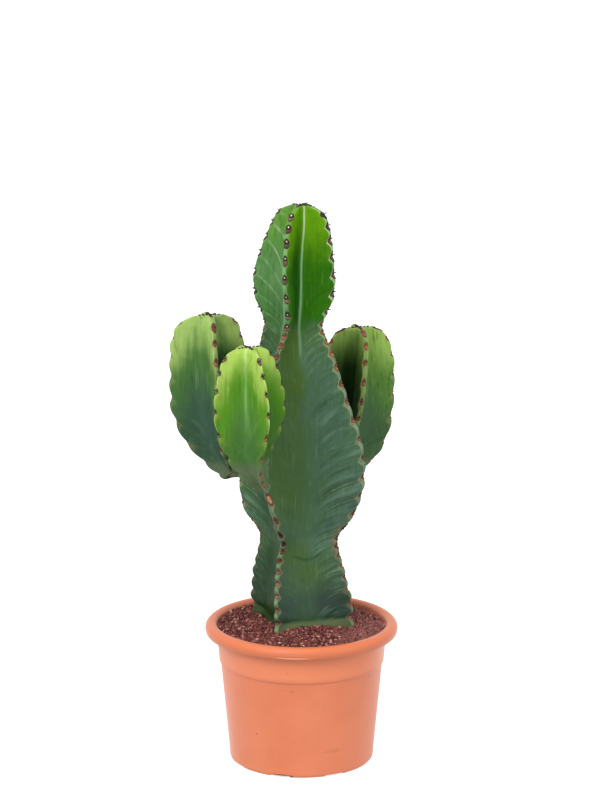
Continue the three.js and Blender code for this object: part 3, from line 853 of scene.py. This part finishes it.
def build_bed(material):
    """The soil's body, with a fine bumpy top."""
    angle = np.arange(BED_SEGMENTS) * 2 * math.pi / BED_SEGMENTS
    r, a = np.meshgrid(np.linspace(BED_RADIUS, 2, BED_RINGS), angle, indexing="ij")
    x, y = r * np.cos(a), r * np.sin(a)
    points = np.stack([x, y, soil_surface(x, y) - BED_DROP], -1).reshape(-1, 3)
    points[:, 2] += 0.8 * noise(points, 3.2, 33) + 0.5 * noise(points, 1.7, 34)
    low = inner_radius(FLOOR_TOP + 3) * 0.985
    bottom = np.full(BED_SEGMENTS, FLOOR_TOP + 1.0)
    skirt = np.stack([low * np.cos(angle), low * np.sin(angle), bottom], -1)
    top = float(soil_surface(0.0, 0.0)) - BED_DROP
    points = np.concatenate([skirt, points, [[0, 0, FLOOR_TOP + 1.0], [0, 0, top]]])
    faces = closed_faces(BED_RINGS + 1, BED_SEGMENTS)
    piece = make_piece("soil_bed", points, faces, material)
    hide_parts("soil")


def build_grains(material):
    """Several thousand grains of grit on the bed."""
    rng = np.random.default_rng(5)
    parts = Parts(["tone", "pale"])
    placed = 0
    while placed < GRAIN_COUNT:
        radius = GRAIN_REACH * math.sqrt(rng.uniform(0, 1))
        angle = rng.uniform(0, 2 * math.pi)
        x, y = radius * math.cos(angle), radius * math.sin(angle)
        if in_trunk(x, y):
            continue
        size = float(np.clip(rng.lognormal(math.log(1.55), 0.32), 0.8, 3.0))
        z = float(soil_surface(x, y)) - 0.6 + rng.uniform(-0.6, 0.7)
        grain = pebble(np.array([x, y, z]), size, rng)
        pale = 1.0 if rng.uniform() < 0.008 and size < 2 else 0.0
        parts.add(*grain, tone=rng.uniform(0, 1), pale=pale)
        placed += 1
    parts.piece("soil_grains", "gravel_soil", material, smooth_faces=False)


# The trunk where it enters the soil: its middle, its first rib's direction and its ribs' reach.
FOOT_X = 2.4
FOOT_TURN = math.radians(-28)
FOOT_REACH = 78.4


def in_trunk(x, y):
    """Whether a place on the soil is well under the trunk."""
    angle = math.atan2(x - FOOT_X, -(y - TRUNK_Y)) - FOOT_TURN
    quarter = (angle + math.pi / 4) % (math.pi / 2) - math.pi / 4
    spread = abs(quarter) / (math.pi / 4)
    radius = FOOT_REACH * (1 - 0.37 * min(1, spread * 1.4))
    return math.hypot(x - FOOT_X, y - TRUNK_Y) < radius - 6


# ---------------------------------------------------------------- pot

def inner_radius(z):
    heights = [FLOOR_TOP, STEP_HEIGHT, POT_HEIGHT - 12]
    radii = [BASE_RADIUS - WALL, STEP_RADIUS - WALL, COLLAR_RADIUS - WALL + 1.4]
    return float(np.interp(z, heights, radii))


def rounded(corners, radius, steps=5):
    """A profile with each corner turned into a short arc."""
    corners = [np.array(c, float) for c in corners]
    result = [corners[0]]
    for before, corner, after in zip(corners, corners[1:], corners[2:]):
        a, b = before - corner, after - corner
        cut = min(radius, 0.45 * np.linalg.norm(a), 0.45 * np.linalg.norm(b))
        start, end = corner + unit(a) * cut, corner + unit(b) * cut
        for t in np.linspace(0, 1, steps):
            result.append((1 - t) ** 2 * start + 2 * t * (1 - t) * corner + t**2 * end)
    return result + [corners[-1]]


def pot_profile():
    """The pot's section from the middle of its underside round to the middle of its floor."""
    rim = POT_HEIGHT
    outside = rounded([(0, 0), (PAD_RADIUS, 0), (PAD_RADIUS + 2, UNDERSIDE_RISE),
                       (FOOT_INNER_RADIUS - 2, UNDERSIDE_RISE), (FOOT_INNER_RADIUS, 0),
                       (FOOT_RADIUS + 1, 0), (BASE_RADIUS, 3.5), (BASE_RADIUS + 0.4, 12),
                       (STEP_RADIUS, STEP_HEIGHT),
                       (STEP_RADIUS + 1.9, STEP_HEIGHT + 1.2), (COLLAR_RADIUS, COLLAR_TOP),
                       (COLLAR_RADIUS + 1.4, rim - 11.5), (124, rim - 8),
                       (RIM_RADIUS - 5.2, rim - 9.5), (RIM_RADIUS - 4.6, rim - 15.7),
                       (RIM_RADIUS - 1.6, rim - 15.9), (RIM_RADIUS + 0.1, rim - 9.5),
                       (RIM_RADIUS - 1.2, rim - 4.2), (RIM_RADIUS - 6.5, rim + 0.1),
                       (121.6, rim - 0.2), (118.2, rim - 3.6),
                       (inner_radius(rim - 12), rim - 13), (inner_radius(STEP_HEIGHT), STEP_HEIGHT),
                       (inner_radius(FLOOR_TOP), FLOOR_TOP), (0, FLOOR_TOP)], 2.2)
    profile = []
    for a, b in zip(outside, outside[1:]):
        count = max(1, int(np.linalg.norm(b - a) / 6))
        profile += [a + (b - a) * k / count for k in range(count)]
    return np.array(profile + [outside[-1]])


def notch_lift(angle, r, z):
    """The height of a point of the foot, raised where a notch is cut in the base's edge."""
    turn = (angle - math.radians(NOTCH_AZIMUTH - 90)) % (2 * math.pi / NOTCH_COUNT)
    turn = np.minimum(turn, 2 * math.pi / NOTCH_COUNT - turn)
    off = np.abs(turn) * r
    inside = smooth(NOTCH_WIDTH / 2 + 0.9, NOTCH_WIDTH / 2 - 0.9, off) * smooth(80, 84, r)
    return np.maximum(z, NOTCH_HEIGHT * inside)


def build_pot(material):
    profile = pot_profile()
    angle = np.arange(POT_SEGMENTS) * 2 * math.pi / POT_SEGMENTS
    inner = profile[1:-1]
    r = np.repeat(inner[:, 0], POT_SEGMENTS)
    z = np.repeat(inner[:, 1], POT_SEGMENTS)
    a = np.tile(angle, len(inner))
    z = np.where(z < 3.4, notch_lift(a, r, z), z)
    wave = 0.18 * np.sin(3 * a + 0.6) * smooth(20, 120, z) * smooth(198, 150, z)
    points = np.stack([(r + wave) * np.cos(a), (r + wave) * np.sin(a), z], -1)
    points = np.concatenate([points, [[0, 0, 0], [0, 0, FLOOR_TOP]]])
    faces = closed_faces(len(inner), POT_SEGMENTS)
    piece = make_piece("pot_shell", points, faces, material)
    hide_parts("pot")


# ---------------------------------------------------------------- materials

def colour(code):
    """Linear colour, with its alpha, from a six-digit sRGB code."""
    levels = [int(code[i:i + 2], 16) / 255 for i in (0, 2, 4)]
    linear = [c / 12.92 if c <= 0.04045 else ((c + 0.055) / 1.055) ** 2.4 for c in levels]
    return (*linear, 1.0)


class Nodes:
    """A material's nodes, with its base colour painted coat by coat.

    A value is a socket, a number or the name of one of the mesh's own values. A colour is a socket,
    a six-digit code or a name in the palette.
    """

    def __init__(self, name, roughness, specular, palette=None):
        self.material = bpy.data.materials.new(name)
        self.material.use_nodes = True
        self.palette = palette or {}
        self.shader = self.material.node_tree.nodes["Principled BSDF"]
        self.shader.inputs["Roughness"].default_value = roughness
        self.shader.inputs["Specular IOR Level"].default_value = specular
        self.place = self.add("ShaderNodeTexCoord", {}, "Object")

    def put(self, value, socket):
        if isinstance(value, str):
            value = self.add("ShaderNodeAttribute", {}, "Fac", attribute_name=value)
        if isinstance(value, bpy.types.NodeSocket):
            self.material.node_tree.links.new(value, socket)
        else:
            socket.default_value = value

    def add(self, kind, inputs, output=0, **settings):
        """One output of a new node."""
        node = self.material.node_tree.nodes.new(kind)
        for key, value in settings.items():
            setattr(node, key, value)
        for key, value in inputs.items():
            self.put(value, node.inputs[key])
        return node.outputs[output]

    def math(self, operation, a, b, clamp=False):
        return self.add("ShaderNodeMath", {0: a, 1: b}, operation=operation, use_clamp=clamp)

    def times(self, *factors):
        return functools.reduce(functools.partial(self.math, "MULTIPLY"), factors)

    def plus(self, *terms):
        return functools.reduce(functools.partial(self.math, "ADD"), terms)

    def vector(self, operation, a, b=(0, 0, 0), output=0):
        return self.add("ShaderNodeVectorMath", {0: a, 1: b}, output, operation=operation)

    def ramp(self, value, low, high, to_low=0.0, to_high=1.0):
        """A smooth step of the value."""
        inputs = {"Value": value, "From Min": low, "From Max": high, "To Min": to_low, "To Max": to_high}
        return self.add("ShaderNodeMapRange", inputs, interpolation_type="SMOOTHSTEP")

    def axis(self, name):
        return self.add("ShaderNodeSeparateXYZ", {0: self.place}, name)

    def noise(self, scale, detail=3.0, roughness=0.55, distortion=0.0):
        """Noise from 0 to 1. scale is per metre, one number or three."""
        if not isinstance(scale, tuple):
            scale = (scale, scale, scale)
        return self.noise_at(self.vector("MULTIPLY", self.place, scale), detail, roughness, distortion)

    def noise_at(self, place, detail, roughness, distortion):
        inputs = {"Vector": place, "Scale": 1.0, "Detail": detail, "Roughness": roughness,
                  "Distortion": distortion}
        return self.add("ShaderNodeTexNoise", inputs)

    def along_folds(self, across, along):
        """Noise that is drawn out along the folds of the skin, by the skin's own flow and span."""
        inputs = {0: self.times("flow", across), 1: self.times("span", along)}
        return self.noise_at(self.add("ShaderNodeCombineXYZ", inputs), 3.0, 0.5, 0.5)

    def cells(self, scale):
        """Distance to the nearest cell's point."""
        return self.add("ShaderNodeTexVoronoi", {"Vector": self.place, "Scale": scale}, "Distance")

    def spot(self, centre_mm, size_mm, edge=0.35):
        """1 inside an ellipsoid round a point and 0 outside."""
        away = self.vector("SUBTRACT", self.place, tuple(c * MM for c in centre_mm))
        scaled = self.vector("MULTIPLY", away, tuple(1 / (s * MM) for s in size_mm))
        return self.ramp(self.vector("LENGTH", scaled, output="Value"), 1 + edge, 1 - edge)

    def mix(self, a, b, factor):
        a, b = (colour(self.palette.get(c, c)) if isinstance(c, str) else c for c in (a, b))
        return self.add("ShaderNodeMix", {"Factor": factor, 6: a, 7: b}, 2,
                        data_type="RGBA", clamp_factor=True)

    def coat(self, tint, *factors):
        """Paint a colour over the last coat, as strongly as the product of the factors."""
        self.skin = self.mix(self.skin, tint, self.times(*factors))

    def finish(self, height, strength, distance, roughness=None):
        """Link the painted colour, the bump and, where it varies, the roughness."""
        self.put(self.skin, self.shader.inputs["Base Color"])
        if roughness is not None:
            self.put(roughness, self.shader.inputs["Roughness"])
        inputs = {"Strength": strength, "Distance": distance, "Height": height}
        self.put(self.add("ShaderNodeBump", inputs), self.shader.inputs["Normal"])
        return self.material


# Colours of the skins of the trunk and the left, front and right arm, or one for them all.
SKIN_COLOURS = {
    "deep": "3f5f35 36523b 487030 3d5a38",
    "fresh": "265f06 487036 50861c 4e7630",
    "tip": "5a8e06 9cba66 a0c058 8eb054",
    # The colour of the painted sheen on the top segment's left face.
    "haze": "5f8854",
    "olive": "405a24",
    "bloom": "486454 3b5748 48763c 3f5f40",
    "slate": "3c524e 304e49 3f6c40 345048",
    "pale": "7d9c84 84a878 8cb46a 7fa070",
    "gleam": "549618 a8c67c b4d270 9cbc60",
    "dark": "183412 16301a 204a0e 0c1a08",
    "shadow": "0c3604 1e4410 3a700c 0e2406",
    # The colour of the painted shade at the trunk's foot.
    "damp": "303f38",
    "line": "86b284 5f8a5a 9cc480 5a8050",
    # The colour of the painted highlight along the folds.
    "vein": "a4c49a 84a878 9cc07c 7fa070",
    "callus": "575e3f 5c6a50 647658 5c6a50",
    "crest": "6c8862 7d9458 86a848 7a9156",
    "worn": "8a7060 8a7060 a89a68 8f7860",
    "bead": "7fa972",
    "rim": "dfe2bc c8c890 e2e2a4 c8cc90",
    "rust": "74482f 86523a 8a5a30 86523a",
    "joint": "4a261c",
}
WAX_ROUGHNESS = 0.42


class Skin(Nodes):
    """Waxy succulent skin, with the noises and colours that several of its coats share."""

    def __init__(self, name, column):
        choices = {key: codes.split() for key, codes in SKIN_COLOURS.items()}
        palette = {key: codes[column % len(codes)] for key, codes in choices.items()}
        super().__init__(name, WAX_ROUGHNESS, 0.05, palette)
        self.mottle = self.noise(38, 4)
        self.streak = self.noise((260, 260, 20), 3)
        self.wisp = self.noise((70, 70, 34), 4, 0.6, 1.2)
        self.feather = self.along_folds(9.0, 5.0)
        self.broad = self.along_folds(2.6, 1.5)
        uneven = self.times(self.plus(self.mottle, -0.5), 0.3)
        self.young = self.math("ADD", "young", uneven, clamp=True)
        fresh = self.ramp(self.young, 0.3, 0.65)
        self.light = self.mix("pale", "gleam", fresh)
        self.dark = self.mix("dark", "shadow", fresh)


def paint_ground(n):
    """Green by age, painted sheen, bloom, folds painted lighter on their ridges and darker in their
    creases with a painted highlight along each, and the valley's line.
    """
    n.skin = n.mix("deep", "fresh", n.ramp(n.young, 0.0, 0.55))
    n.coat("tip", n.ramp(n.young, 0.55, 1.05))
    # Painted sheen on the top segment's left face.
    n.coat("haze", "haze", n.ramp(n.wisp, 0.3, 0.65, 0.7, 1.0))
    n.coat("olive", "olive", 0.9)
    bloom = n.times("bloom", n.ramp(n.wisp, 0.25, 0.7, 0.6, 1.1))
    n.coat("bloom", bloom, 0.9)
    n.coat("slate", n.ramp(n.mottle, 0.55, 0.75), bloom, 0.6)
    # Painted highlight on the folds' ridges, painted shade in their creases, then a painted highlight
    # along each fold.
    n.coat(n.light, n.ramp("fold", 0.2, 1.2), 0.3)
    n.coat(n.dark, n.ramp("fold", -0.1, -1.0), 0.4)
    n.coat("vein", "vein", n.ramp(n.wisp, 0.35, 0.6, 0.4, 1.0), 0.9)
    n.coat(n.mix("line", "rim", n.ramp(n.young, 0.65, 1.0, 0.0, 0.6)), "valley")


def paint_streaks(n):
    """Streaks along the stem, the flanks' wrinkles, specks, painted shade, painted shade at the trunk's
    foot and the marks of age.
    """
    lively = n.ramp(n.young, 0.1, 0.6, 0.45, 1.0)
    n.coat(n.light, n.ramp(n.streak, 0.55, 0.78, 0.0, 0.4), lively)
    n.coat(n.dark, n.ramp(n.streak, 0.47, 0.22, 0.0, 0.6), lively)
    # Painted shade at the trunk's foot.
    n.coat("damp", "damp")
    old = n.times(n.ramp(n.young, 0.6, 0.2, 0.15, 1.0), "flank")
    n.coat(n.light, n.ramp(n.broad, 0.52, 0.76, 0.0, 0.34), old)
    n.coat(n.dark, n.ramp(n.broad, 0.48, 0.26, 0.0, 0.4), old)
    n.coat(n.light, n.ramp(n.feather, 0.58, 0.8, 0.0, 0.22), old)
    n.coat(n.dark, n.ramp(n.feather, 0.44, 0.24, 0.0, 0.25), old)
    n.coat("callus", "callus", n.ramp(n.wisp, 0.3, 0.6, 0.6, 0.95))
    n.coat(n.light, n.ramp(n.cells(260), 0.12, 0.06), n.ramp(n.mottle, 0.52, 0.64), 0.4)
    # Painted shade in creases, under the arms and on faces sheltered between a rib and the trunk.
    n.coat(n.dark, "shade")
    n.coat("worn", "bark", n.ramp(n.noise(150, 4), 0.38, 0.62, 0.25, 0.9))


def paint_margins(n, rim_strength):
    """The ribs' crests, their pale outline and beads, rust round the shields, and the dark joint."""
    aged = n.ramp(n.young, 0.6, 0.3)
    worn_crest = n.mix("crest", "worn", n.times(n.ramp(n.noise(170, 3), 0.45, 0.68), aged, 0.6))
    patchy = n.ramp(n.noise(190, 3), 0.36, 0.58, 0.3, 1.0)
    n.coat(worn_crest, "crest", n.math("MAXIMUM", n.ramp(n.young, 0.3, 0.6), patchy), 0.8)
    n.coat("bead", "bead", n.ramp(n.wisp, 0.3, 0.6, 0.5, 0.9))
    rim = n.mix("rim", "worn", n.times(aged, 0.7))
    n.coat(rim, "rim", n.ramp(n.noise(120, 2), 0.3, 0.6, 0.4, 1.0), rim_strength)
    n.coat("rust", "rust", n.ramp(n.noise(260, 3), 0.35, 0.65, 0.1, 0.8))
    n.coat("joint", "joint")


def skin_material(name, column, rim_strength):
    n = Skin(name, column)
    paint_ground(n)
    paint_streaks(n)
    paint_margins(n, rim_strength)
    gloss = n.ramp(n.mottle, 0.3, 0.7, WAX_ROUGHNESS - 0.07, WAX_ROUGHNESS + 0.1)
    folds = n.times(n.plus(n.times(n.feather, 0.35), n.times(n.broad, 2.2)), "flank")
    height = n.plus(n.times(n.noise(900, 2), 0.25), n.times(n.streak, 0.5), n.times(n.wisp, 0.5), folds)
    return n.finish(height, 0.4, 0.0015, n.plus(gloss, n.times("crest", 0.08)))


def shield_material():
    """Horny shields: dark border, a pale dot in a dark scar, and near-black spines."""
    n = Nodes("horn", 0.6, 0.25)
    grain = n.noise(700, 3)
    tone = n.ramp(n.plus("tone", n.times(grain, 0.6)), 0.3, 1.2)
    n.skin = n.mix(n.mix("463429", "745a46", tone), n.mix("652e1e", "9c5e3c", tone), "age")
    n.coat(n.mix("8a5230", "bb9067", n.ramp("tan", 0.5, 1.0)), n.ramp("tan", 0.0, 0.45))
    n.coat("1c0f08", "burnt", 0.9)
    r = n.plus("r", n.times(n.plus(grain, -0.5), 0.18))
    n.coat("1f0f0a", n.ramp(r, 0.62, 0.88), n.ramp("age", 0.0, 1.0, 0.95, 0.65))
    plain = n.times(n.ramp("r", 0.0, 0.02), n.ramp(n.plus("tan", "burnt"), 0.6, 0.1))
    n.coat("160b08", n.ramp("bud", 0.86, 0.6), plain, n.ramp("age", 0.0, 1.0, 0.97, 0.4))
    faded = n.ramp(n.plus("age", n.times("tone", 0.4)), 0.4, 1.0, 0.97, 0.12)
    n.coat("efe0b4", n.ramp("bud", 0.3, 0.2), plain, faded)
    n.coat("5e2a18", n.ramp(r, 0.45, 0.72), n.ramp("tan", 0.6, 1.0))
    n.coat(n.mix("0e0a08", "38241a", n.times("tone", grain)), "spine")
    return n.finish(grain, 0.4, 0.0006)


# Small marks on the pot: stains, scratches, a clump of soil, a painted shadow at a notch and a painted
# highlight on the bead; centre, half size, strength and colour.
POT_MARKS = [
    ((31, -100, 103), (1.6, 6, 1.6), 0.6, "a8603c"),
    ((42, -93, 83), (1.2, 6, 1.2), 0.6, "a8603c"),
    ((-9, -105, 104), (1.2, 6, 1.2), 0.5, "a8603c"),
    ((-62, -84, 60), (1.2, 6, 1.4), 0.6, "8a4a30"),
    ((40, -88, 38), (13, 12, 4), 0.3, "b4622f"),
    ((93, -62, 140), (2.5, 6, 7), 0.35, "b06a4a"),
    ((-17, -108, 131), (13, 6, 1.0), 0.3, "b86a48"),
    # Painted shadow under the notch at the front.
    ((-30, -96, 3.1), (13, 8, 1.5), 0.8, "5a3022"),
    ((-15, -99, 1.6), (3.2, 6, 2.2), 0.9, "4a2a20"),
    # Painted highlight along the bead at the front.
    ((-12, -134, 184.4), (24, 9, 0.9), 0.6, "f2b898"),
]


def pot_material():
    """Satin terracotta plastic with faint moulding lines, scuffs, a little dried soil and painted light:
    a lighter collar, a darker rim, shadows under the bead and at a notch, and a highlight on the bead.
    """
    n = Nodes("pot_satin", 0.34, 0.36)
    cloud = n.noise(9, 4)
    grain = n.noise(420, 3)
    height = n.axis("Z")
    n.skin = n.mix("d1744e", "d97d59", n.ramp(cloud, 0.3, 0.7))
    n.coat("c26a46", n.ramp(grain, 0.55, 0.8, 0, 0.3))
    # Painted light: the collar under the rim made lighter against the rim's shadow.
    n.coat("e2845c", n.ramp(height, 0.142, 0.15), n.ramp(height, 0.18, 0.176, 0.0, 0.8))
    # Painted shade: the rim darker and redder, against the light that falls on its top.
    n.coat("c4683f", n.ramp(height, 0.18, 0.185, 0.0, 0.75))
    # Painted shadow: a thin dark line under the bead's lip.
    n.coat("8a3f26", n.ramp(height, 0.1812, 0.1818), n.ramp(height, 0.1832, 0.1826, 0.0, 0.7))
    inside = n.spot((0, 0, 192), (120.5, 120.5, 400), 0.006)
    n.coat("c47a62", inside, n.ramp(height, 0.1865, 0.1885, 0.0, 0.75))
    scratch = n.times(n.ramp(n.noise((60, 60, 420), 3), 0.66, 0.8), n.ramp(n.noise(14, 2), 0.5, 0.7))
    n.coat("f3b596", scratch, 0.35)
    n.coat("9a5238", n.ramp(n.cells(46), 0.1, 0.03), n.ramp(n.noise(30, 2), 0.5, 0.62), 0.6)
    for centre, size, strength, code in POT_MARKS:
        n.coat(code, n.spot(centre, size), strength)
    roughness = n.plus(n.ramp(cloud, 0.3, 0.7, 0.3, 0.42), n.times(scratch, 0.15))
    return n.finish(n.plus(n.times(grain, 0.35), n.times(cloud, 2.0)), 0.15, 0.001, roughness)


def soil_material():
    """Dark potting mix under the grains."""
    n = Nodes("soil_bed", 0.95, 0.1)
    grain = n.noise(420, 4)
    n.skin = n.mix("2a120f", "6d3c34", n.ramp(grain, 0.35, 0.75))
    return n.finish(grain, 0.8, 0.002)


def grain_material():
    """Red-brown lava grit, each grain in its own tone and a few of them pale, with painted light on the
    right side.
    """
    n = Nodes("soil_grain", 0.75, 0.4)
    fine = n.noise(900, 3)
    n.skin = n.mix("3c1612", "813d35", n.ramp("tone", 0.1, 0.8))
    n.coat("c0857a", n.ramp("tone", 0.82, 1.0))
    # Painted light: the grains on the right side made lighter.
    n.coat("b07068", n.ramp(n.axis("X"), 0.03, 0.08, 0.0, 0.25))
    n.coat("220e0c", n.ramp(fine, 0.5, 0.75, 0.0, 0.75))
    n.coat("d2b58c", "pale")
    return n.finish(fine, 0.5, 0.0008)


# ---------------------------------------------------------------- stage

FLOOR_SIZE = 40

# Soft lamps: name, place, what they face, width and height, and power.
LAMPS = [
    ("key", (-1.5, -2.4, 2.3), (0, 0, 0.45), (1.3, 1.3), 40),
    ("fill", (2.4, -1.8, 1.5), (0, 0, 0.4), (1.4, 1.8), 14),
]


def place_object(name, data, place, turn):
    placed = bpy.data.objects.new(name, data)
    placed.location = place
    placed.rotation_euler = turn
    bpy.context.scene.collection.objects.link(placed)
    return placed


def add_camera():
    data = bpy.data.cameras.new("camera")
    data.lens = CAMERA_LENS
    data.sensor_width = 36
    data.clip_end = 100
    turn = (math.radians(90 - CAMERA_PITCH), 0, 0)
    bpy.context.scene.camera = place_object("camera", data, CAMERA_PLACE, turn)


def add_lights():
    """Two soft lamps and a wide, weak sun."""
    for name, place, target, size, power in LAMPS:
        data = bpy.data.lights.new(name, "AREA")
        data.shape = "RECTANGLE"
        data.size, data.size_y = size
        data.energy = power
        toward = np.array(target, float) - np.array(place, float)
        yaw = math.atan2(toward[0], -toward[1])
        pitch = math.atan2(math.hypot(toward[0], toward[1]), -toward[2])
        place_object(name, data, place, (pitch, 0, math.pi + yaw))
    sun = bpy.data.lights.new("sky", "SUN")
    sun.energy = 0.9
    sun.angle = math.radians(50)
    place_object("sky", sun, (0, 0, 0), (math.radians(28), math.radians(-12), 0))


def add_world():
    """A white studio that is a little darker towards the floor."""
    world = bpy.data.worlds.new("studio")
    world.use_nodes = True
    tree = world.node_tree
    direction = tree.nodes.new("ShaderNodeSeparateXYZ")
    tree.links.new(tree.nodes.new("ShaderNodeTexCoord").outputs["Generated"], direction.inputs[0])
    sky = tree.nodes.new("ShaderNodeMapRange")
    sky.interpolation_type = "SMOOTHSTEP"
    for key, number in (("From Min", -0.25), ("From Max", 0.05), ("To Min", 0.6), ("To Max", 1.05)):
        sky.inputs[key].default_value = number
    tree.links.new(direction.outputs["Z"], sky.inputs["Value"])
    background = tree.nodes["Background"]
    background.inputs["Color"].default_value = (1, 1, 1, 1)
    tree.links.new(sky.outputs[0], background.inputs["Strength"])
    bpy.context.scene.world = world
    bpy.context.scene.view_settings.view_transform = "Standard"


def add_floor():
    """A pale floor that glows a little and doesn't tint the pot."""
    mesh = bpy.data.meshes.new("floor")
    corners = [(-1, -1, 0), (1, -1, 0), (1, 1, 0), (-1, 1, 0)]
    mesh.from_pydata((np.array(corners) * FLOOR_SIZE).tolist(), [], [(0, 1, 2, 3)])
    n = Nodes("floor", 0.8, 0.0)
    n.shader.inputs["Base Color"].default_value = (0.6, 0.6, 0.6, 1)
    n.shader.inputs["Emission Color"].default_value = (1, 1, 1, 1)
    n.shader.inputs["Emission Strength"].default_value = 0.6
    mesh.materials.append(n.material)
    floor = place_object("floor", mesh, (0, 0, 0), (0, 0, 0))
    floor.visible_diffuse = False


# Each stem, its material's name, how strong its rims are, the half width and height of its shields
# by their height on it, and the height above which they are young.
STEMS = [
    (trunk_stem(), "trunk_wax", 0.6, trunk_shield_size, 622),
    (arm_stem("left_arm", LEFT_ARM, 3.9), "left_wax", 0.3, lambda z: (4.2, 5.6), 660),
    (arm_stem("front_arm", FRONT_ARM, 2.6), "front_wax", 0.55, lambda z: (3.4, 4.4), 490),
    (arm_stem("right_arm", RIGHT_ARM, 4.0), "right_wax", 0.4, lambda z: (4.0, 5.2), 640),
]

add_camera()
add_world()
add_floor()
add_lights()
for column, (stem, name, rim_strength, *_) in enumerate(STEMS):
    build_skin(stem, skin_material(name, column, rim_strength))
horn = shield_material()
for column, (stem, _, _, size, young_from) in enumerate(STEMS):
    build_shields(stem, horn, size, young_from, column + 1)
build_pot(pot_material())
build_bed(soil_material())
build_grains(grain_material())
